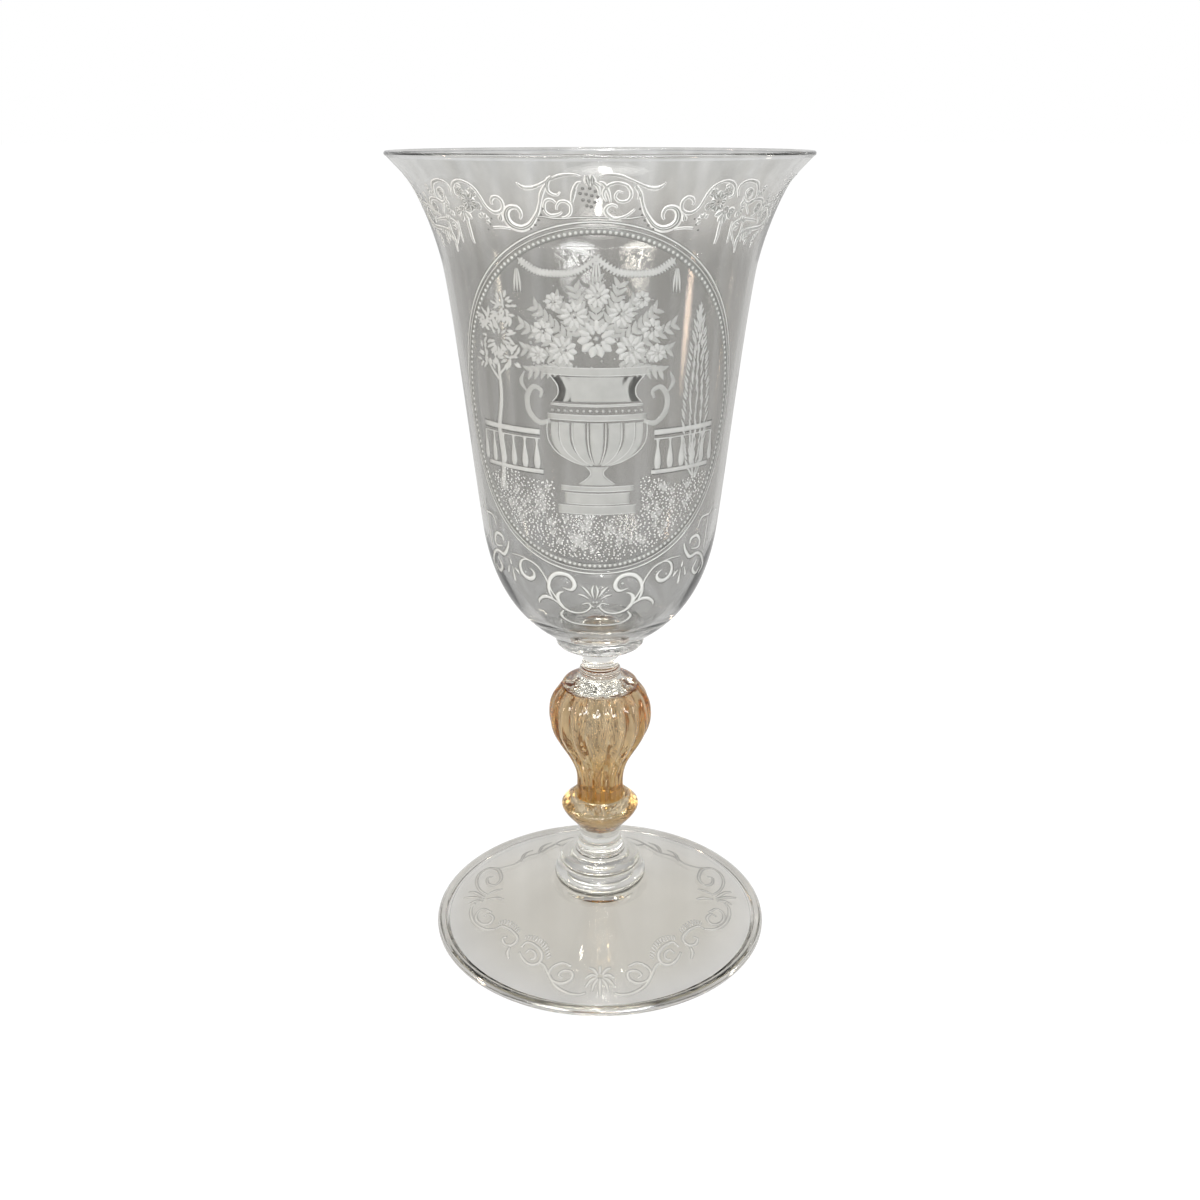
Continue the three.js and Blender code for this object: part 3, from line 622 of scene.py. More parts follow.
bowl_outside = np.concatenate([
    bend((BOWL_SEAT_RADIUS, HAIRLINE), 58.4, BOWL_BELLY[1] * 0.24,
         BOWL_BELLY, BOWL_BELLY_LEAN, BOWL_BELLY[1] * 0.67, 36)[:-1],
    bend(BOWL_BELLY, BOWL_BELLY_LEAN, barrel_pull, BOWL_FLARE, BOWL_FLARE_LEAN, barrel_pull, 26)[:-1],
    bend(BOWL_FLARE, BOWL_FLARE_LEAN, bell_pull, BOWL_LIP, BOWL_LIP_LEAN, bell_pull, 16)[:-1],
    bend(BOWL_LIP, BOWL_LIP_LEAN, lip_pull, BOWL_RIM, BOWL_RIM_LEAN, lip_pull, 8),
])
slope = np.gradient(bowl_outside, axis=0)
slope /= np.hypot(slope[:, 0], slope[:, 1])[:, None]
inward = np.column_stack([-slope[:, 1], slope[:, 0]])
bowl_height = bowl_outside[:, 1]
wall = np.full(len(bowl_outside), BOWL_HEEL_WALL)
wall += (BOWL_WALL - wall) * smooth(bowl_height, BOWL_HEEL_HEIGHT, BOWL_BELLY[1])
wall += (BOWL_RIM_WALL - wall) * smooth(bowl_height, BOWL_FLARE[1], BOWL_RIM[1])
bowl_inside = (bowl_outside + inward * wall[:, None])[bowl_height > BOWL_HEEL_HEIGHT][-2::-1]
bead_middle = bowl_outside[-1] + inward[-1] * BOWL_RIM_WALL / 2
wrap = math.degrees(math.acos(BOWL_RIM_WALL / 2 / BOWL_BEAD_RADIUS))
heel, above_heel = bowl_inside[-1], bowl_inside[-2]
heel_lean = math.degrees(math.atan2(above_heel[0] - heel[0], above_heel[1] - heel[1]))
bowl_outline = outline_of(
    ("joint", [(0, HAIRLINE), (BOWL_WELD_RADIUS, HAIRLINE)]),
    bowl_outside[:-1],
    arc(bead_middle, BOWL_BEAD_RADIUS, BOWL_BEAD_RADIUS,
        -BOWL_RIM_LEAN - wrap, 180 - BOWL_RIM_LEAN + wrap, 14),
    bowl_inside,
    bend(heel, heel_lean - 180, heel[0] / 3, (0, BOWL_FLOOR), -90, heel[0] / 3, 20),
)
glass_piece("bowl_glass", "bowl", *bowl_outline, bowl_base, "engraved_clear_glass", bowl_glass, 256)


# Scroll band. Cartouche scrollwork cut on the outside of the bowl with a copper wheel, between the
# medallion and the rim: whiskers, volutes, leaf lobes and beads, nearly alike on both sides of an
# axis, with a cluster of berries on it.
CARTOUCHE_AXIS = -2.5
CUT_RISE = 0.05
CUT_DEPTH = 0.08
EDGE_RISE = 0.02
CORE_RISE = 0.09
MATT_GRAIN = 2600.0
MATT_CLOUD = 180.0


def skin_of(outline, base):
    """A glass surface as the way along its outline, and the radius, height and lean at each point."""
    way = np.concatenate([[0], np.cumsum(np.hypot(*np.diff(outline, axis=0).T))])
    lean = np.gradient(outline, way, axis=0)
    lean /= np.hypot(lean[:, 0], lean[:, 1])[:, None]
    return {"way": way, "radius": outline[:, 0], "height": outline[:, 1] + base,
            "out": lean[:, 1], "up": -lean[:, 0]}


def at(skin, what, way):
    """A value of the skin at ways along its outline."""
    return np.interp(way, skin["way"], skin[what])


def on_skin(skin, azimuth, way, lift):
    """Points at an azimuth in degrees from the front towards +X and at a way along the outline,
    moved by the lift along the outward normal, which is the outline's lean turned by 90 degrees."""
    a = np.radians(azimuth)
    r = at(skin, "radius", way) + at(skin, "out", way) * lift
    z = at(skin, "height", way) + at(skin, "up", way) * lift
    return np.stack([r * np.sin(a), -r * np.cos(a), z], -1)


def eased(rows, per_step=5):
    """A smooth curve through rows of numbers: a Catmull-Rom cubic between each two rows."""
    rows = np.array(rows, float)
    p = np.vstack([2 * rows[0] - rows[1], rows, 2 * rows[-1] - rows[-2]])
    t = (np.arange(per_step) / per_step)[None, :, None]
    a, b, c, d = p[:-3, None], p[1:-2, None], p[2:-1, None], p[3:, None]
    curve = (b + (c - a) * t / 2 + (a - 2.5 * b + 2 * c - d / 2) * t**2
             + (1.5 * (b - c) + (d - a) / 2) * t**3)
    return np.vstack([curve.reshape(-1, rows.shape[1]), rows[-1:]])


def cut_stroke(skin, rows, lanes, rise):
    """One wheel cut from rows of azimuth, way and width. Its lanes lie evenly across the path and
    rise as 1 - c^2 from edge to crown; its underside lies a little inside the glass."""
    azimuth, way, width = rows.T
    r = at(skin, "radius", way)
    ahead = np.stack([np.radians(np.gradient(azimuth)) * r, np.gradient(way)], 1)
    ahead /= np.maximum(np.hypot(ahead[:, 0], ahead[:, 1]), 1e-9)[:, None]
    c = np.concatenate([np.linspace(-1, 1, lanes), np.linspace(1, -1, lanes)])
    lift = np.where(np.arange(2 * lanes) < lanes, rise * (1 - c**2), -CUT_DEPTH)
    side = c[None, :] * np.abs(width[:, None]) / 2
    a = azimuth[:, None] + np.degrees(ahead[:, 1:] * side / r[:, None])
    w = way[:, None] - ahead[:, :1] * side
    points = on_skin(skin, a, w, lift[None, :])
    k = np.arange(2 * lanes)
    ahead_k = (k + 1) % (2 * lanes)
    start = np.arange(len(rows) - 1)[:, None] * 2 * lanes
    quads = np.stack([start + k, start + ahead_k, start + 2 * lanes + ahead_k, start + 2 * lanes + k], 2)
    ends = [k[::-1].tolist(), (k + (len(rows) - 1) * 2 * lanes).tolist()]
    under = np.tile((k >= lanes) & (k < 2 * lanes - 1), len(rows) - 1).astype(int).tolist()
    return points.reshape(-1, 3), quads.reshape(-1, 4).tolist() + ends, under + [0, 0]


def cut_dots(skin, dots, sides=6):
    """Round cuts from rows of azimuth, way and radius: each is a low cone on the glass with a flat
    cone under it."""
    azimuth, way, size = np.array(dots, float).T
    t = np.arange(sides) * 2 * np.pi / sides
    a = azimuth[:, None] + np.degrees(size[:, None] * np.cos(t) / at(skin, "radius", way)[:, None])
    edge = on_skin(skin, a, way[:, None] + size[:, None] * np.sin(t), 0.0)
    crown = on_skin(skin, azimuth, way, size * 0.3)
    root = on_skin(skin, azimuth, way, -CUT_DEPTH)
    points = np.concatenate([edge, crown[:, None], root[:, None]], 1).reshape(-1, 3)
    k = np.arange(sides)
    after = (k + 1) % sides
    one = np.vstack([np.stack([k, after, k * 0 + sides], 1), np.stack([after, k, k * 0 + sides + 1], 1)])
    faces = (one[None] + np.arange(len(size))[:, None, None] * (sides + 2)).reshape(-1, 3).tolist()
    return points, faces, ([0] * sides + [1] * sides) * len(size)


def widened(strokes, times, more=0.0):
    """The same cuts, wider: every width by a factor and an amount in mm."""
    return [rows * [1, 1, times] + [0, 0, more] for rows in strokes]


def engraving(name, skin, strokes, dots, material, lanes=3, rise=CUT_RISE):
    """All the cuts of one ornament as one mesh that rides with the glass."""
    cuts = [cut_stroke(skin, rows, lanes, rise) for rows in strokes]
    if len(dots):
        cuts.append(cut_dots(skin, dots))
    first = np.cumsum([0] + [len(points) for points, _, _ in cuts])
    faces = [[corner + start for corner in face] for start, (_, each, _) in zip(first.tolist(), cuts)
             for face in each]
    mesh = bpy.data.meshes.new(name)
    mesh.from_pydata((np.vstack([points for points, _, _ in cuts]) * MILLIMETRE).tolist(), [], faces)
    mesh.polygons.foreach_set("use_smooth", np.ones(len(faces), bool))
    mesh.materials.append(material)
    mesh.materials.append(cut_back_painted_light)
    backs = np.concatenate([under for _, _, under in cuts])
    mesh.polygons.foreach_set("material_index", backs.astype(np.int32))
    work = bmesh.new()
    work.from_mesh(mesh)
    bmesh.ops.recalc_face_normals(work, faces=work.faces)
    work.to_mesh(mesh)
    work.free()
    piece = placed(name, mesh)
    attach(piece, "root")


def matted(name, colour, rough=0.6):
    """Wheel-matted glass: a pale body colour, or a dark one that paints shade, clouded by slow noise,
    with a fine grain in its roughness and relief."""
    material, tree = empty_material(name)
    place = add(tree, "TexCoord").outputs["Object"]
    grain = add(tree, "TexNoise", Vector=place, Scale=MATT_GRAIN, Detail=2.0)
    cloud = add(tree, "TexNoise", Vector=place, Scale=MATT_CLOUD, Detail=2.0)
    darker, lighter = ((*(share * c for c in colour), 1) for share in (0.84, 1.16))
    tone = mixed(tree, cloud, darker, lighter)
    worn = ramp(tree, grain, 0.0, 1.0, To_Min=rough - 0.15, To_Max=rough + 0.15)
    relief = add(tree, "Bump", Strength=0.4, Distance=0.00004, Height=grain)
    skin = add(tree, "BsdfPrincipled", Base_Color=tone, Roughness=worn, Normal=relief)
    add(tree, "OutputMaterial", Surface=skin)
    return material


# The backs of the cuts are painted far paler than their faces: painted light for the light that the frosted
# cuts let through from the front.
cut_back_painted_light = matted("back of the cuts, painted light", (0.80, 0.80, 0.785), 0.7)
bowl_skin = skin_of(bowl_outside, bowl_base)


def on_bowl(rows, per_step=5):
    """A smooth cut on the bowl from rows of degrees from the front, height and width."""
    azimuth, z, width = np.array(rows, float).T
    way = np.interp(z, bowl_skin["height"], bowl_skin["way"])
    return eased(np.column_stack([azimuth, way, width]), per_step)


def bowl_dots(rows):
    """Round cuts on the bowl from rows of degrees from the front, height and radius."""
    azimuth, z, size = np.array(rows, float).T
    return np.column_stack([azimuth, np.interp(z, bowl_skin["height"], bowl_skin["way"]), size]).tolist()


def degrees_across(mm, z):
    """The turn about the axis that takes a way in mm round the bowl at a height."""
    return np.degrees(mm / np.interp(z, bowl_skin["height"], bowl_skin["radius"]))


def mirrored(rows, sides=(-1, 1)):
    """Rows given from the cartouche's axis towards +X, on each chosen side of it."""
    a, z, width = np.array(rows, float).T
    return [np.column_stack([CARTOUCHE_AXIS + side * a, z, width]) for side in sides]


def on_sides(shapes, sides=(-1, 1)):
    """Smooth cuts on the bowl from shapes given from the cartouche's axis, on each chosen side."""
    return [on_bowl(rows) for shape in shapes for rows in mirrored(shape, sides)]


def petals(centre, count, length, width, first=90.0, sweep=360.0, start=0.3):
    """Leaf-shaped cuts that fan out round a place (degrees, height), each widest in its middle."""
    a, z = centre
    step = sweep / count if sweep >= 360 else sweep / max(count - 1, 1)
    t = np.linspace(start, 1, 5)
    swell = width * np.array([0.3, 0.85, 1.0, 0.75, 0.12])
    return [on_bowl(np.column_stack([a + degrees_across(length * t * np.cos(turn), z),
                                     z + length * t * np.sin(turn), swell]), 2)
            for turn in np.radians(first + step * np.arange(count))]


def flower(centre, size, count=7):
    """A flower head: its petals, and the dots of its eye."""
    a, z = centre
    turn = np.arange(6) * np.pi / 3
    eye = [(a, z, 0.15 * size)]
    eye += [(a + degrees_across(0.34 * size * math.cos(t), z), z + 0.34 * size * math.sin(t), 0.07 * size)
            for t in turn]
    return petals(centre, count, size, 5.0 * size / count, start=0.4), bowl_dots(eye)


# The dark line material is painted shade, in and round the cuts and in the lawn. The pale edge material is
# a painted highlight along the scroll band's cuts, and the plain matt of the lawn's pale stipple.
painted_shade_line = matted("painted shade line", (0.14, 0.14, 0.13), 0.5)
bright_line = matted("bright line", (0.36, 0.36, 0.345), 0.5)
edge_highlight_and_stipple = matted("painted edge highlight and stipple", (0.47, 0.465, 0.447))
BAND_BOTH_SIDES = (
    [(2.2, 314.4, .25), (3.5, 315.0, .36), (4.9, 315.1, .57), (6.8, 314.9, .8), (8.4, 314.4, .68),
     (10.1, 313.6, .5), (11.8, 312.8, .5), (13.6, 311.8, .55), (15.4, 311.1, .7), (17.1, 310.8, .88),
     (18.4, 311.2, .69), (19.3, 312.0, .37), (19.7, 312.7, .14)],
    [(11.9, 311.8, .46), (12.8, 310.3, .69), (13.6, 308.6, .74), (14.1, 306.9, .56), (14.7, 305.1, .6),
     (15.4, 303.4, .7), (16.7, 301.4, .84), (18.4, 299.4, 1.03), (21.0, 298.2, 1.17), (23.6, 298.6, 1.29),
     (25.4, 300.1, 1.41), (25.7, 302.3, 1.32), (24.7, 304.1, 1.08), (23.1, 304.9, .89),
     (21.4, 304.6, .75), (20.7, 303.3, .61), (20.8, 302.0, .47), (21.4, 301.1, .23)],
    [(29.3, 305.4, .24), (29.6, 306.3, .47), (28.7, 307.6, .61), (27.3, 307.9, .61), (26.2, 307.1, .61),
     (25.9, 305.6, .61), (26.5, 304.0, .61), (27.9, 303.1, .66), (29.7, 303.0, .61), (31.3, 304.1, .52),
     (32.3, 305.6, .47), (32.9, 307.6, .5), (33.9, 310.1, .54), (35.7, 312.0, .6), (38.2, 312.7, .66),
     (40.8, 311.9, .67), (42.6, 310.2, .67), (42.9, 308.0, .55), (41.2, 307.3, .3)],
    [(5.4, 306.6, .2), (4.9, 309.1, .51), (4.2, 311.0, .6), (3.3, 312.5, .55), (2.2, 312.9, .27)],
    [(25.1, 298.0, .28), (28.3, 298.3, .38), (31.5, 298.1, .33)],
    [(27.2, 302.7, .2), (27.8, 301.1, 1.1), (28.0, 300.4, .4)],
    [(0.5, 315.0, .3), (0.6, 313.4, 1.3), (0.4, 311.6, .4)],
    [(45.2, 307.4, .31), (44.0, 310.5, .55), (45.1, 312.2, .67), (47.8, 312.5, .74), (51.2, 311.5, .68),
     (53.2, 309.3, .62), (53.9, 306.7, .56), (52.6, 305.4, .56), (49.8, 305.5, .43), (47.4, 307.3, .25)],
    [(49.5, 307.2, .31), (47.9, 309.0, .43), (48.9, 309.9, .49), (50.9, 309.1, .43), (51.5, 307.4, .37),
     (50.4, 306.6, .25)],
    [(53.2, 301.6, .25), (51.0, 304.3, .5), (52.6, 305.9, .56), (56.8, 306.3, .63), (59.3, 305.3, .57),
     (59.7, 303.0, .51), (57.6, 301.3, .51), (55.4, 300.6, .25)],
    [(62.2, 298.1, .26), (60.6, 300.6, .51), (61.7, 302.8, .57), (64.4, 303.6, .58), (67.7, 301.6, .52),
     (68.2, 299.2, .52), (65.2, 297.3, .26)],
    [(72.8, 300.4, .33), (68.3, 297.7, .58), (64.4, 296.6, .71), (59.1, 296.4, .76), (54.3, 295.9, .76),
     (52.2, 294.3, .75), (51.7, 292.3, .69), (52.3, 288.9, .3)],
    [(60.0, 299.1, .32), (53.8, 299.9, .5), (50.1, 299.7, .56), (47.9, 298.9, .56), (47.5, 297.2, .5),
     (48.2, 295.1, .37), (51.1, 291.4, .25)],
    [(41.9, 303.3, .31), (41.3, 301.3, .49), (41.4, 298.4, .61), (41.6, 294.9, .62), (41.2, 292.4, .31)],
    [(82.0, 313.5, .4), (79.7, 311.7, .53), (75.6, 307.7, .53), (71.4, 304.4, .46), (70.8, 300.8, .39),
     (71.5, 298.4, .26)],
    [(46.4, 299.6, .3), (46.9, 296.0, .5), (47.0, 292.3, .2)],
    [(51.8, 299.9, .3), (52.2, 296.5, .5), (51.9, 293.1, .2)],
    [(57.8, 297.2, .3), (56.8, 295.0, .5), (55.1, 292.9, .2)],
)
BAND_LEFT_SIDE = (
    [(9.7, 314.5, .6), (10.8, 313.4, .83), (11.5, 311.8, .78), (11.4, 310.1, .55), (10.4, 309.1, .42),
     (9.1, 308.9, .32), (8.1, 309.8, .14)],
    [(9.8, 306.4, .28), (10.6, 307.2, .46), (11.8, 307.4, .51), (12.8, 306.6, .46), (13.2, 305.1, .42),
     (13.0, 303.6, .42), (11.8, 302.6, .47), (10.4, 302.6, .47), (9.1, 303.0, .37), (8.2, 303.7, .19)],
    [(9.8, 304.3, .23), (9.5, 305.6, .32), (8.5, 306.8, .46), (7.0, 306.9, .51), (5.9, 306.0, .46),
     (5.6, 304.7, .42), (5.9, 303.2, .42), (7.0, 302.2, .37), (8.4, 301.8, .23)],
)
BAND_RIGHT_SIDE = (
    [(12.3, 304.5, .23), (10.4, 302.8, .37), (8.5, 301.8, .56), (6.5, 301.6, .65), (4.9, 302.4, .7),
     (4.0, 303.9, .6), (4.4, 305.2, .51), (5.6, 305.9, .42), (6.9, 305.6, .37), (7.3, 304.8, .18)],
)
CREST = (
    [(1.8, 306.9, .2), (0.9, 309.4, .5), (2.3, 311.8, .6), (4.6, 312.6, .6), (7.2, 311.6, .6),
     (8.4, 309.2, .55), (7.6, 307.2, .5), (5.4, 306.9, .45), (4.1, 308.3, .4), (4.8, 310.0, .35),
     (6.2, 309.6, .2)],
    [(9.2, 311.4, .3), (10.5, 309.6, .5), (10.4, 307.3, .2)],
    [(0.2, 311.6, .3), (-1.1, 312.6, .5), (-2.8, 313.2, .5), (-3.6, 314.2, .2)],
    [(-3.8, 312.3, .2), (-2.8, 313.2, .4), (-1.5, 312.3, .5), (-0.4, 311.0, .5), (-0.2, 308.7, .2)],
    [(-6.3, 310.9, .3), (-7.1, 308.7, .5), (-7.6, 306.4, .2)],
    [(-3.5, 315.0, .3), (-3.2, 313.6, .9), (-2.8, 312.3, .3)],
)
GRAPES = [(-4.6, 310.9), (-2.7, 310.9), (-1.2, 310.1), (-5.3, 309.4), (-3.7, 309.2), (-2.2, 308.7),
          (-0.6, 308.3), (-4.6, 307.4), (-3.0, 307.1), (-1.4, 306.7), (-3.6, 305.6), (-2.4, 305.3)]
GRAPE_RADIUS = 0.62
BAND_BEADS = [(13.7, 304.6, .45), (14.5, 302.7, .47), (15.5, 301.0, .5), (16.7, 299.4, .5),
              (18.3, 298.2, .45), (31.2, 301.0, .4), (32.2, 299.2, .45), (33.4, 297.4, .4)]
BAND_FLOWERS = ((38.0, 306.2, 3.2), (57.2, 303.4, 1.7), (64.3, 300.6, 1.7), (35.4, 309.1, 1.5),
                (40.6, 309.6, 1.6), (49.6, 308.4, 1.3), (76.0, 311.2, 2.0), (73.5, 306.6, 1.6),
                (41.9, 303.3, 1.4), (34.9, 304.8, 1.3), (44.4, 302.9, 1.2), (60.6, 301.2, 1.3))
BAND_TUFTS = ((38.2, 310.4, 5, 2.6, 30), (47.3, 303.8, 6, 3.0, 60), (55.0, 309.6, 5, 2.8, 20),
              (60.8, 306.0, 6, 3.0, 40), (51.2, 298.0, 6, 3.4, 200), (58.6, 293.8, 5, 3.2, 230),
              (66.6, 305.4, 5, 3.0, 30), (70.2, 297.0, 5, 3.4, 210), (34.2, 300.4, 5, 2.6, 200),
              (64.4, 292.2, 5, 3.4, 220), (74.6, 303.6, 4, 2.6, 60))

band = on_sides(BAND_BOTH_SIDES) + on_sides(BAND_LEFT_SIDE, (-1,)) + on_sides(BAND_RIGHT_SIDE, (1,))
band_beads = [dot for rows in mirrored(BAND_BEADS) for dot in bowl_dots(rows)]
heads = [(CARTOUCHE_AXIS + side * a, z, size) for side in (-1, 1) for a, z, size in BAND_FLOWERS]
band += [on_bowl(rows) for rows in CREST]
band_beads += bowl_dots([(a, z, GRAPE_RADIUS) for a, z in GRAPES])
for a, z, size in heads:
    head, eye = flower((a, z), size, 8 if size > 2.5 else 6)
    band += head
    band_beads += eye
for side in (-1, 1):
    band += petals((CARTOUCHE_AXIS + side * 41.9, 303.6), 5, 4.6, 1.1, 205, 150)
    band += petals((CARTOUCHE_AXIS + side * 54.5, 298.6), 4, 6.2, 0.7, 245, 60)
    for a, z, count, length, first in BAND_TUFTS:
        place = (CARTOUCHE_AXIS + side * a, z)
        band += petals(place, count, length, 0.75, 90 + side * (first - 90), -150 * side)
# Each cut of the band is laid in three layers: a wide pale layer of painted highlight along its edges, the
# cut in a dark tone of painted shade, and a narrow bright matt core on top.
engraving("scroll_band_edges", bowl_skin, widened(band, 1.9, 0.35), [], edge_highlight_and_stipple, 3, EDGE_RISE)
engraving("scroll_band", bowl_skin, widened(band, 1.3), band_beads, painted_shade_line)
engraving("scroll_band_core", bowl_skin, widened(band, 0.4), [], bright_line, 3, CORE_RISE)


# Medallion frame. An upright oval of two fine lines cut on the front of the bowl, with a row of
# ground beads inside them, and a thin line that swells over its crown.
MEDALLION_AXIS = -1.2
MEDALLION_MIDDLE = 238.3
MEDALLION_HALF_WIDTH = 58.1
MEDALLION_HALF_HEIGHT = 62.3
FRAME_LINES = ((0.0, 0.55), (1.5, 0.3))
FRAME_BEADS = 186
FRAME_BEAD_INSET = 3.1
FRAME_BEAD_RADIUS = 0.68
BEAD_BED_WIDTH = 2.2
OVAL_STEPS = 120
CROWN_LINE = [(16.4, 301.9, .23), (14.2, 302.1, .37), (12.2, 301.8, .42), (10.2, 301.6, .42),
              (8.1, 301.6, .42), (6.1, 301.8, .42), (2.0, 302.0, .37), (0.0, 302.0, .3)]


def oval(count, inset, size):
    """Rows along the medallion's oval, an ellipse in mm round the bowl and in height, moved inwards."""
    turn = np.linspace(0, 2 * np.pi, count + 1)
    z = MEDALLION_MIDDLE + (MEDALLION_HALF_HEIGHT - inset) * np.sin(turn)
    across = (MEDALLION_HALF_WIDTH - inset) * np.cos(turn)
    return np.column_stack([MEDALLION_AXIS + degrees_across(across, z), z, np.full(count + 1, size)])


frame_cuts = [on_bowl(oval(OVAL_STEPS, inset, width), 2) for inset, width in FRAME_LINES]
frame_cuts += on_sides([CROWN_LINE])
# The wider dark band under both lines, the crown line and the row of beads is painted shade.
frame_edges = widened(frame_cuts, 1.4, 0.3)
frame_edges.append(on_bowl(oval(OVAL_STEPS, FRAME_BEAD_INSET, BEAD_BED_WIDTH), 2))
engraving("medallion_frame_edges", bowl_skin, frame_edges, [], painted_shade_line, 3, EDGE_RISE)
engraving("medallion_frame", bowl_skin, frame_cuts,
          bowl_dots(oval(FRAME_BEADS, FRAME_BEAD_INSET, FRAME_BEAD_RADIUS)[:-1]), bright_line)


# Urn. The middle of the medallion's garden picture: a lobed stone urn with scroll handles, on a
# plinth of three steps, matted broadly with a wide wheel.
URN_STEPS = ((14, 201.2, 3.0), (11.6, 205.4, 4.0), (13, 209.2, 1.7))
URN_RIMS = ((17.4, 235.2, 1.9), (16.2, 239.6, 0.6), (18.6, 251.4, 2.6))
URN_LOBES = 7
URN_LOBE_HEIGHTS = np.array([217.8, 219.4, 222.4, 226.2, 230.0, 233.2])
URN_HALF_WIDTHS = np.array([4.2, 9.0, 14.0, 16.8, 17.4, 17.2])
URN_HANDLE = [(16.4, 233.6, 1.4), (20.6, 232.6, 2.0), (24.4, 236.0, 2.2), (25.2, 241.4, 2.1),
              (22.6, 245.2, 1.8), (19.6, 244.0, 1.4), (20.2, 241.4, 0.9)]
URN_LEAF = [(25.0, 243.0, 0.4), (27.4, 246.6, 1.7), (26.0, 250.4, 0.3)]


def drawn(rows, side=1, per_step=5):
    """A smooth cut from rows of mm from the medallion's axis, height and width."""
    x, z, width = np.array(rows, float).T
    return on_bowl(np.column_stack([MEDALLION_AXIS + degrees_across(side * x, z), z, width]), per_step)


def drawn_dots(rows):
    """Round cuts from rows of mm from the medallion's axis, height and radius."""
    x, z, size = np.array(rows, float).T
    return bowl_dots(np.column_stack([MEDALLION_AXIS + degrees_across(x, z), z, size]))


matt_field = matted("matt field", (0.205, 0.205, 0.194), 0.7)
bright_field = matted("bright field", (0.265, 0.265, 0.253), 0.55)
urn = [drawn([(-half, z, width), (0, z - 0.3, width), (half, z, width)], 1, 8)
       for half, z, width in URN_STEPS + URN_RIMS]
urn.append(drawn([(0, 210.4, 13), (0, 211.6, 11), (0, 213.2, 5.5), (0, 215.4, 4.2), (0, 217.2, 7)]))
urn.append(drawn([(0, 240.6, 30), (0, 243.0, 27), (0, 246.0, 27), (0, 249.4, 32)]))
for share in np.linspace(-1, 1, URN_LOBES):
    middle = math.sin(1.2 * share) / math.sin(1.2) * 0.86
    lobe_width = URN_HALF_WIDTHS * 0.27 * (1 - 0.42 * share**2)
    urn.append(drawn(np.column_stack([middle * URN_HALF_WIDTHS, URN_LOBE_HEIGHTS, lobe_width])))
urn += [drawn(rows, side) for side in (-1, 1) for rows in (URN_HANDLE, URN_LEAF)]
urn_beads = drawn_dots([(x, 237.4, 0.62) for x in np.linspace(-15.6, 15.6, 15)])
engraving("urn", bowl_skin, urn, [], matt_field, 9)
# Thin bright lines along the urn's rims, lobe edges and flutes are painted highlights on its relief.
urn_highlights = []
for half, z, width in URN_STEPS + URN_RIMS:
    for edge in (-0.5, 0.5):
        urn_highlights.append(drawn([(-half, z + edge * width, 0.3), (0, z - 0.3 + edge * width, 0.42),
                               (half, z + edge * width, 0.3)], 1, 8))
for side in (-1, 1):
    urn_highlights.append(drawn([(side * half, z, 0.4)
                           for half, z in zip(URN_HALF_WIDTHS + 0.4, URN_LOBE_HEIGHTS)]))
    urn_highlights.append(drawn([(side * 15.6, 240.4, 0.4), (side * 13.6, 243.0, 0.45),
                           (side * 13.8, 246.4, 0.45), (side * 16.8, 250.2, 0.4)]))
    urn_highlights.append(drawn([(side * 6.3, 210.8, 0.35), (side * 3.0, 213.4, 0.4), (side * 2.3, 215.4, 0.4),
                           (side * 4.0, 217.4, 0.35)]))
    for flute in (0.18, 0.5, 0.76):
        urn_highlights.append(drawn(np.column_stack([side * flute * URN_HALF_WIDTHS, URN_LOBE_HEIGHTS,
                                               [0.2, 0.4, 0.5, 0.5, 0.45, 0.3]])))
engraving("urn_highlights_and_beads", bowl_skin, urn_highlights, urn_beads, bright_field, 3, 0.11)


# Bouquet. Full flower heads, pointed leaves and berries that stand in the urn.
BOUQUET_FLOWERS = ((0, 262.5, 6.6), (-11.5, 258.5, 5.0), (11.5, 258.8, 5.2), (-7.6, 270.4, 4.7),
                   (8.4, 270.8, 4.5), (0.4, 277.0, 4.3), (-18.6, 264.6, 4.0), (18.8, 265.4, 3.8),
                   (-20.6, 256.4, 3.2), (20.8, 257.2, 3.3), (-14.6, 274.6, 3.1), (15.2, 275.4, 3.0))
SPRAYS = 13
SPRAY_REACH = 27.0
BERRIES = 110


def leaves(places, turns, length, width):
    """Short leaf cuts at places (mm from the axis, height), each along its own turn."""
    t = np.linspace(-0.5, 0.5, 4)
    swell = width * np.array([0.3, 1.0, 0.8, 0.1])
    return [drawn(np.column_stack([x + length * t * np.cos(turn), z + length * t * np.sin(turn), swell]),
                  1, 2) for (x, z), turn in zip(places, turns)]


chance = np.random.default_rng(11)
bouquet, berries, foliage = [], [], []
for x, z, size in BOUQUET_FLOWERS:
    place = (MEDALLION_AXIS + degrees_across(x, z), z)
    head, eye = flower(place, size, 11 if size > 4 else 8)
    bouquet += head + petals(place, 7, size * 0.58, size * 0.3, 20, start=0.45)
    berries += eye
for turn in np.radians(np.linspace(-24, 204, SPRAYS)):
    reach = SPRAY_REACH + 2.4 * math.sin(5 * turn) + chance.uniform(-1, 1)
    along = np.linspace(0.42, 1.0, 7)
    sway = turn + 0.22 * math.cos(turn) * (along - 0.4)
    stem = np.column_stack([along * reach * np.cos(sway), 257 + along * reach * 0.9 * np.sin(sway)])
    foliage.append(drawn(np.column_stack([stem, np.linspace(0.6, 0.25, 7)]), 1, 3))
    for side in (-0.75, 0.75):
        foliage += leaves(stem + np.array([-np.sin(turn), np.cos(turn)]) * side * 1.5,
                          np.full(7, turn + side), 4.4, 1.7)
spots = chance.uniform((-24, 251), (24, 283), (BERRIES, 2))
spots = spots[(spots[:, 0] / 25)**2 + ((spots[:, 1] - 263) / 21)**2 < 1]
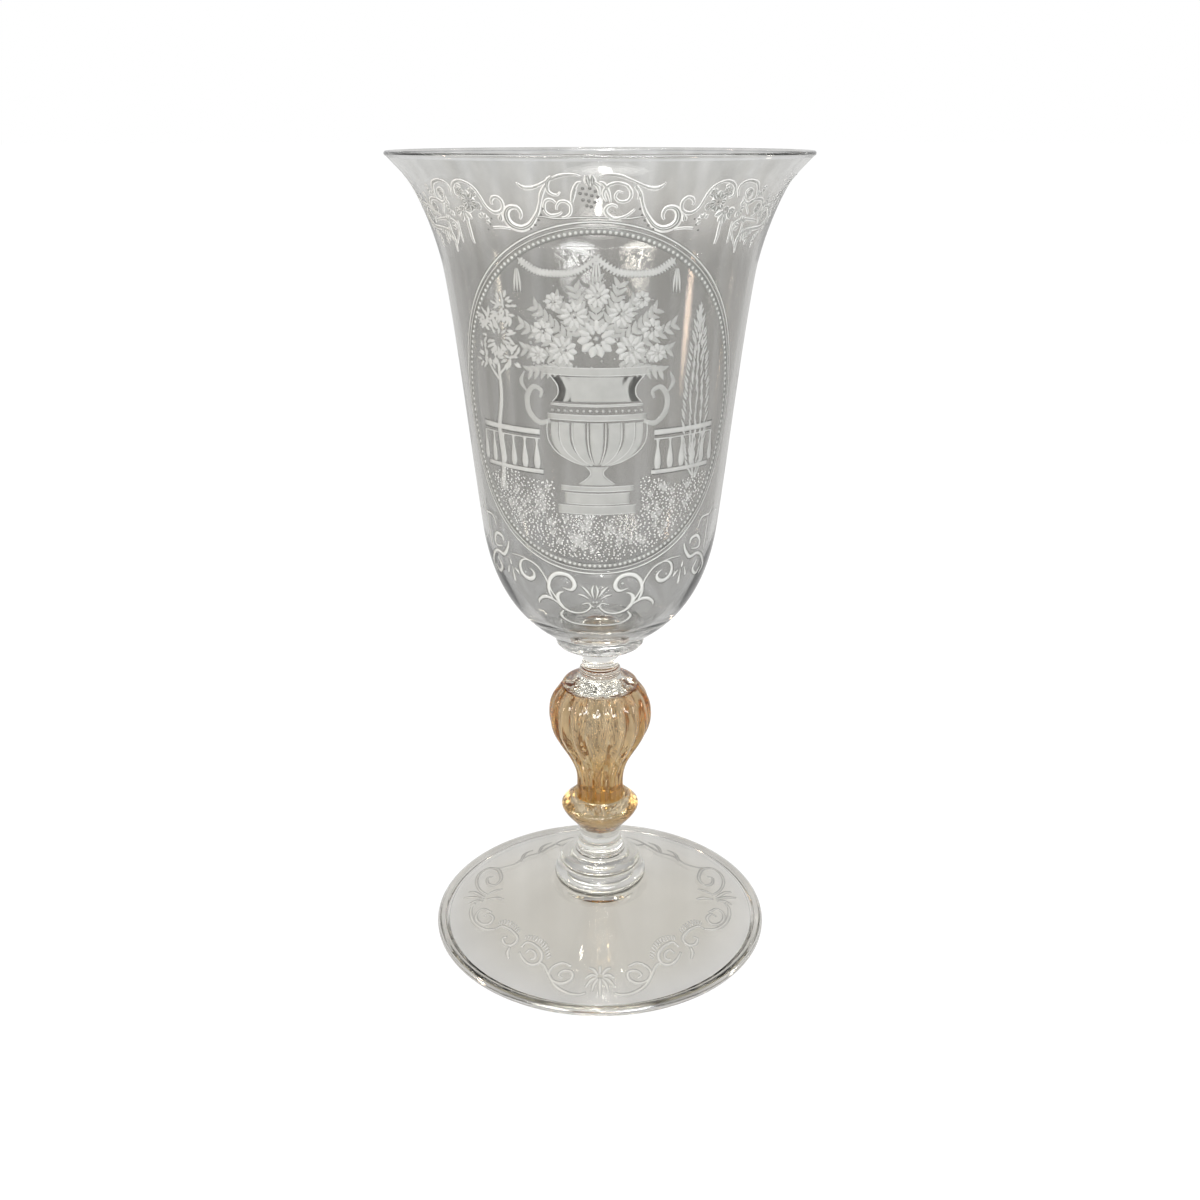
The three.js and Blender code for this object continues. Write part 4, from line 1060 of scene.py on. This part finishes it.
berries += drawn_dots(np.column_stack([spots, chance.uniform(0.28, 0.55, len(spots))]))
engraving("bouquet_leaves", bowl_skin, foliage, [], matt_field, 5)
engraving("bouquet", bowl_skin, bouquet, berries, bright_field, 3, CORE_RISE)


# Garden. Behind the urn a balustrade, a round tree and a pointed tree, and over it two leaf swags
# with tassels, all cut with small leaf strokes.
RAILS = ((229.0, 2.0), (226.6, 0.5), (214.4, 1.6))
BALUSTERS = range(22, 49, 5)
TRUNK = [(-38.5, 205, 3.2), (-37.4, 216, 2.2), (-38.6, 228, 1.9), (-36.8, 240, 1.7), (-37.4, 252, 1.2)]
CLUMPS = ((-37, 262, 7.5), (-43, 254, 5.0), (-31.5, 254.5, 4.6), (-34, 271.5, 5.4), (-41.5, 267, 5.0))
CYPRESS = (38.0, 210.0, 272.0, 5.6)
SWAG = [(0.0, 289.0), (6.5, 284.9), (13.5, 283.9), (20.5, 284.6), (26.0, 287.6)]
TASSELS = ((0.0, 288.6), (27.6, 285.2))

garden = []
for side in (-1, 1):
    for z, width in RAILS:
        first, last = (20.5, 47.5) if z > 220 else (19.5, 46)
        garden.append(drawn([(first, z, width), (34, z, width), (last, z, width)], side, 8))
    for x in BALUSTERS:
        garden.append(drawn([(x, 215.4, 1.6), (x, 217.6, 2.6), (x, 221.0, 1.9), (x, 224.4, 0.8),
                             (x, 226.4, 1.4)], side, 3))
garden.append(drawn(TRUNK))
garden.append(drawn([(-37.2, 246, 1.2), (-41, 250, 0.9), (-43.5, 254, 0.5)]))
garden.append(drawn([(-37.2, 248, 1.0), (-34, 251, 0.8), (-31.5, 254.5, 0.5)]))
for x, z, size in CLUMPS:
    count = int(size * size * 1.15)
    turn = chance.uniform(0, 2 * np.pi, count)
    far = size * np.sqrt(chance.uniform(0.02, 1, count))
    places = np.column_stack([x + far * np.cos(turn), z + far * np.sin(turn)])
    garden += leaves(places, turn + chance.uniform(-0.5, 0.5, count), 2.6, 1.1)
middle, low, high, half = CYPRESS
for share in np.linspace(0.02, 0.99, 34):
    span = half * math.sin(math.pi * share**0.75)**0.8
    z = low + (high - low) * share
    for x in np.linspace(-1, 1, 5):
        tilt = math.pi / 2 - 0.5 * x
        spot = (middle + x * span + chance.uniform(-0.4, 0.4), z + chance.uniform(-0.6, 0.6))
        garden += leaves([spot], [tilt], 3.4, 0.8)
for side in (-1, 1):
    outwards = math.pi * (side < 0)
    for x, z in eased(SWAG, 6):
        garden += leaves([(side * x, z)] * 2, [side * 0.9 + outwards, -side * 0.9 + outwards], 3.2, 1.1)
for x, z in TASSELS:
    for side in (-1, 1) if x else (1,):
        garden += [drawn([(x + dx * 0.4, z, 0.3), (x + dx, z - 4, 0.8), (x + dx * 1.3, z - 8, 0.25)],
                         side, 3) for dx in (-1.0, 0.0, 1.0)]
# Under each leaf cut lies a wider dark border of painted shade.
engraving("garden_edges", bowl_skin, widened(garden, 1.2, 0.3), [], painted_shade_line, 3, EDGE_RISE)
engraving("garden", bowl_skin, garden, [], bright_field, 5)


# Lawn. The ground of the picture, stippled with the point of a small wheel, with tufts of grass.
LAWN_SPACING = 0.90
LAWN_SIDE = 47
LAWN_INSET = 5.2
TUFTS = 150

grid = np.stack(np.meshgrid(np.arange(-LAWN_SIDE, LAWN_SIDE, LAWN_SPACING),
                            np.arange(180, 214, LAWN_SPACING * 0.9)), -1).reshape(-1, 2)
grid += chance.uniform(-0.42, 0.42, grid.shape)
x, z = grid.T
inner_width, inner_height = MEDALLION_HALF_WIDTH - LAWN_INSET, MEDALLION_HALF_HEIGHT - LAWN_INSET
lawn_top = 211.5 + 1.6 * np.sin(x / 7.0) + 0.9 * np.sin(x / 2.9 + 1)
open_ground = (np.abs(x) > 15.5) | (z < 199)
inside = (x / inner_width)**2 + ((z - MEDALLION_MIDDLE) / inner_height)**2 < 1
grid = grid[inside & open_ground & (z < lawn_top)]
spread = chance.uniform(0, 1, len(grid))
stipple = drawn_dots(np.column_stack([grid, 0.24 + 0.18 * spread])[spread > 0.06])
grass = []
for x, z in chance.uniform((-40, 184), (40, 208), (TUFTS, 2)):
    beside_urn = abs(x) > 18 or z < 196
    if (x / inner_width)**2 + ((z - MEDALLION_MIDDLE) / inner_height)**2 < 0.93 and beside_urn:
        for lean in (-0.9, -0.35, 0.1, 0.5, 1.0):
            grass.append(drawn([(x, z, 0.4), (x + lean, z + 1.8, 0.35),
                                (x + 2.1 * lean, z + 3.4, 0.12)], 1, 2))
engraving("grass", bowl_skin, grass, [], bright_field)
# Half of the stipple is pale matt dots; the other half is dark dots of painted shade.
engraving("lawn", bowl_skin, [], stipple[::2], edge_highlight_and_stipple)
engraving("lawn_painted_shade_dots", bowl_skin, [], stipple[1::2], painted_shade_line)


# Lower cartouche. Under the medallion, two broad leaf volutes that rise from a fluted base line,
# with a palmette between them and drop-shaped beads beside them.
LOWER_STROKES = (
    [(43.4, 179.5, .33), (37.1, 179.5, .43), (32.6, 178.6, .52), (29.3, 177.5, .56), (26.9, 175.7, .61),
     (24.6, 172.7, .61), (23.4, 169.9, .61), (22.2, 166.9, .62), (19.8, 163.7, .71), (16.9, 160.4, .57)],
    [(22.2, 163.5, .48), (23.5, 165.9, .95), (23.6, 168.7, 1.14), (22.4, 171.9, 1.23), (20.0, 174.2, 1.36),
     (17.0, 175.2, 1.5), (13.8, 175.0, 1.4), (11.4, 173.9, 1.31), (10.0, 172.0, 1.36), (10.0, 170.1, 1.41),
     (11.5, 168.7, 1.13), (13.7, 168.7, .66), (16.1, 169.4, .24)],
    [(17.2, 160.7, .38), (20.0, 162.2, .62), (23.2, 163.7, 1.05), (26.4, 164.1, 1.33), (29.2, 163.2, 1.1),
     (31.4, 161.7, .82), (31.9, 160.3, .29)],
    [(15.7, 167.5, .28), (17.9, 166.9, .81), (19.4, 165.3, 1.31), (19.4, 162.9, 1.33), (17.8, 160.6, 1.1),
     (14.6, 158.9, .81), (10.5, 158.2, .72), (6.5, 158.7, .67), (3.6, 160.1, .67), (2.3, 161.8, .62),
     (3.4, 163.1, .52), (5.4, 162.8, .47), (6.8, 162.4, .19)],
    [(17.6, 158.8, .48), (19.7, 156.6, .87), (18.6, 154.8, .82), (16.3, 153.6, .73), (12.6, 152.7, .68),
     (6.8, 152.3, .58), (0.0, 152.2, .53)],
    [(32.9, 178.6, .24), (35.5, 178.6, .57), (37.9, 177.3, .9), (39.0, 175.0, 1.09), (38.6, 172.6, 1.29),
     (36.7, 171.1, 1.48), (33.8, 170.7, 1.57), (31.3, 171.9, 1.23), (30.8, 173.6, .85), (31.8, 174.8, .57),
     (33.1, 175.4, .19)],
    [(43.2, 173.7, .24), (41.7, 172.4, 1.05), (40.7, 171.2, .38)],
    [(44.9, 173.9, .19), (45.3, 170.3, .87), (45.6, 167.5, 1.21)],
    [(45.7, 177.2, .19), (45.5, 175.4, .96), (45.4, 174.6, .3)],
    [(47.6, 173.9, .24), (49.2, 171.2, .97), (49.8, 170.2, .3)],
    [(48.8, 183.4, .73), (49.8, 185.4, 1.05), (54.1, 185.6, 1.16), (57.1, 182.5, .96), (55.7, 180.5, .74),
     (50.5, 181.1, .42)],
    [(44.8, 184.1, .52), (46.4, 181.0, 1.05), (50.4, 177.8, 1.27), (56.0, 178.2, 1.06), (61.4, 175.8, 1.07),
     (66.3, 170.8, .98), (63.8, 167.8, .54)],
    [(57.2, 175.3, .64), (55.2, 171.6, 1.07), (59.8, 168.8, 1.08), (62.6, 171.1, .54)],
    [(62.0, 193.0, .42), (61.9, 187.4, .64), (62.1, 180.6, .86), (62.6, 178.0, .3)],
    [(65.2, 196.8, .43), (63.3, 192.8, .75), (56.0, 192.5, .74), (53.4, 188.6, .53)],
)
LOWER_FAN = ([(0.6, 165.2, .2), (1.4, 168.5, .8), (0.6, 171.2, .2)], [(1.6, 165.6, .2), (4.0, 168.6, .8),
              (6.4, 170.6, .25)], [(2.6, 164.8, .2), (5.6, 166.4, .7), (8.4, 167.0, .2)],
              [(0.6, 161.2, .2), (1.6, 161.8, .5), (2.6, 162.0, .1)])
LOWER_BEADS = [(69.7, 180.5, .8), (71.4, 192.1, .7), (36.0, 173.3, .45), (13.4, 171.6, .5),
               (0.8, 163.6, .5)]

lower = on_sides(LOWER_STROKES + LOWER_FAN)
lower_beads = [dot for rows in mirrored(LOWER_BEADS) for dot in bowl_dots(rows)]
# Under each cut lies a wider dark border of painted shade.
engraving("lower_cartouche_edges", bowl_skin, widened(lower, 1.3, 0.55), [], painted_shade_line, 3, EDGE_RISE)
engraving("lower_cartouche", bowl_skin, widened(lower, 1.2), lower_beads, bright_line)


# Foot garland. A wreath of linked scrolls cut on the top of the foot, with a palmette at the front,
# the back and both sides.
GARLAND = (
    (1.3, [(-5.1, 62.3), (-7.5, 63.5), (-11.6, 63.4), (-16.9, 61.2), (-21.4, 56.9), (-25.5, 53.3),
           (-29.2, 52.4)]),
    (1.2, [(-13.2, 50.9), (-17.8, 50.0), (-21.4, 52.6), (-21.7, 56.3), (-18.8, 59.0), (-14.7, 59.1),
           (-11.8, 56.5), (-12.5, 53.5), (-15.9, 53.3), (-17.6, 55.7), (-15.6, 56.9)]),
    (1.2, [(-41.5, 49.6), (-40.9, 46.4), (-34.9, 46.3), (-29.4, 48.9), (-28.6, 52.9), (-31.9, 54.8),
           (-36.4, 53.8), (-40.5, 51.8)]),
    (0.9, [(-37.3, 51.1), (-36.5, 48.9), (-33.0, 49.4), (-31.6, 51.5), (-33.2, 52.7)]),
    (1.2, [(-61.8, 50.5), (-61.0, 47.7), (-54.3, 46.2), (-47.6, 47.2), (-46.3, 50.5), (-49.4, 52.4),
           (-53.4, 51.3), (-52.6, 49.3)]),
    (1.3, [(-46.4, 52.2), (-44.8, 54.7), (-41.9, 56.7)]),
    (1.3, [(-61.8, 50.5), (-65.2, 54.1), (-71.6, 56.6), (-78.6, 57.5), (-84.6, 57.0), (-87.4, 55.2)]),
    (1.2, [(-75.3, 48.9), (-80.3, 51.6), (-79.5, 54.5), (-74.6, 55.7), (-69.7, 54.3), (-67.7, 51.4),
           (-70.4, 49.1), (-74.9, 50.2), (-74.3, 52.4)]),
    (1.4, [(-90.3, 51.7), (-95.9, 56.2), (-97.9, 59.9)]),
    (1.4, [(-88.8, 51.6), (-92.4, 56.5), (-93.7, 61.3)]),
    (1.4, [(-87.1, 51.9), (-88.8, 55.3), (-87.5, 58.5)]),
    (1.2, [(-91.7, 50.6), (-93.8, 47.0), (-93.9, 43.7)]),
    (1.2, [(-87.9, 50.3), (-86.4, 45.9), (-82.8, 42.9)]),
    (1.3, [(-92.2, 50.6), (-98.3, 55.0), (-106.1, 58.8), (-113.2, 60.3), (-117.7, 58.1), (-115.5, 51.8),
           (-106.7, 46.8), (-100.2, 47.5), (-102.1, 51.6), (-108.2, 54.2), (-109.4, 51.9)]),
    (1.2, [(-117.7, 58.1), (-118.4, 51.3), (-123.3, 46.7), (-132.6, 46.5), (-140.3, 43.6), (-150.7, 46.9),
           (-159.6, 51.5), (-166.4, 54.1)]),
    (1.3, [(-125.9, 45.1), (-135.4, 50.1), (-140.5, 50.0)]),
    (1.3, [(-139.6, 44.0), (-147.8, 50.6), (-153.5, 51.9)]),
    (1.3, [(-154.0, 48.2), (-155.9, 43.2), (-160.8, 46.0)]),
)
PALMETTE_MIDDLE = ((1.3, [(0, 55.1), (0, 59.4), (0, 63.7)]), (1.0, [(0, 53.5), (0, 51.5), (0, 49.6)]))
PALMETTE = (
    (1.2, [(-0.7, 55.4), (-2.4, 58.3), (-3.1, 61.9)]), (1.2, [(-1.1, 55.1), (-3.7, 56.5), (-5.6, 59.7)]),
    (1.2, [(-1.1, 54.6), (-3.6, 53.9), (-6.0, 55.6)]), (1.2, [(-0.9, 53.9), (-2.8, 51.6), (-5.2, 50.7)]),
)
COMBS = (
    ([(-42.9, 46.0), (-40.6, 45.0), (-37.4, 44.7), (-34.1, 45.0), (-31.1, 46.1), (-28.4, 47.8),
      (-26.3, 50.0)],
     [(-44.6, 44.2), (-42.1, 42.8), (-38.2, 42.2), (-34.1, 42.3), (-30.3, 43.5), (-27.0, 45.7),
      (-24.9, 48.0)]),
    ([(-63.0, 48.5), (-61.6, 46.7), (-58.2, 45.7), (-54.4, 45.2), (-50.6, 45.5)],
     [(-65.9, 47.3), (-64.2, 45.0), (-60.1, 43.5), (-55.5, 43.0), (-51.0, 43.3)]),
)
TICK_WIDTH = 0.7

foot_skin = skin_of(foot_cone, 0)
foot_line = matted("foot line", (0.275, 0.268, 0.25))
foot_core = matted("foot line core", (0.385, 0.375, 0.35))


def on_foot(width, path, side=1, turn=0.0):
    """A smooth cut on the foot from a width and rows of degrees and radius, mirrored or not, turned."""
    a, r = np.array(path, float).T
    way = np.interp(-r, -foot_skin["radius"], foot_skin["way"])
    swell = width * (0.35 + 0.65 * np.sin(np.pi * np.linspace(0.1, 0.92, len(a))))
    return eased(np.column_stack([turn + side * a, way, swell]))


garland = [on_foot(width, path, side) for side in (-1, 1) for width, path in GARLAND]
garland += [on_foot(width, path, side, turn) for turn in (0, 180) for side in (-1, 1)
            for width, path in PALMETTE]
garland += [on_foot(width, path, 1, turn) for turn in (0, 180) for width, path in PALMETTE_MIDDLE]
for near, far in COMBS:
    ticks = list(zip(eased(near, 2), eased(far, 2)))
    garland += [on_foot(TICK_WIDTH, [a, (a + b) / 2, b], side) for side in (-1, 1) for a, b in ticks]
engraving("foot_garland", foot_skin, widened(garland, 1.25, 0.3), [], foot_line, 5, 0.03)
engraving("foot_garland_core", foot_skin, widened(garland, 0.5), [], foot_core, 3, CORE_RISE)
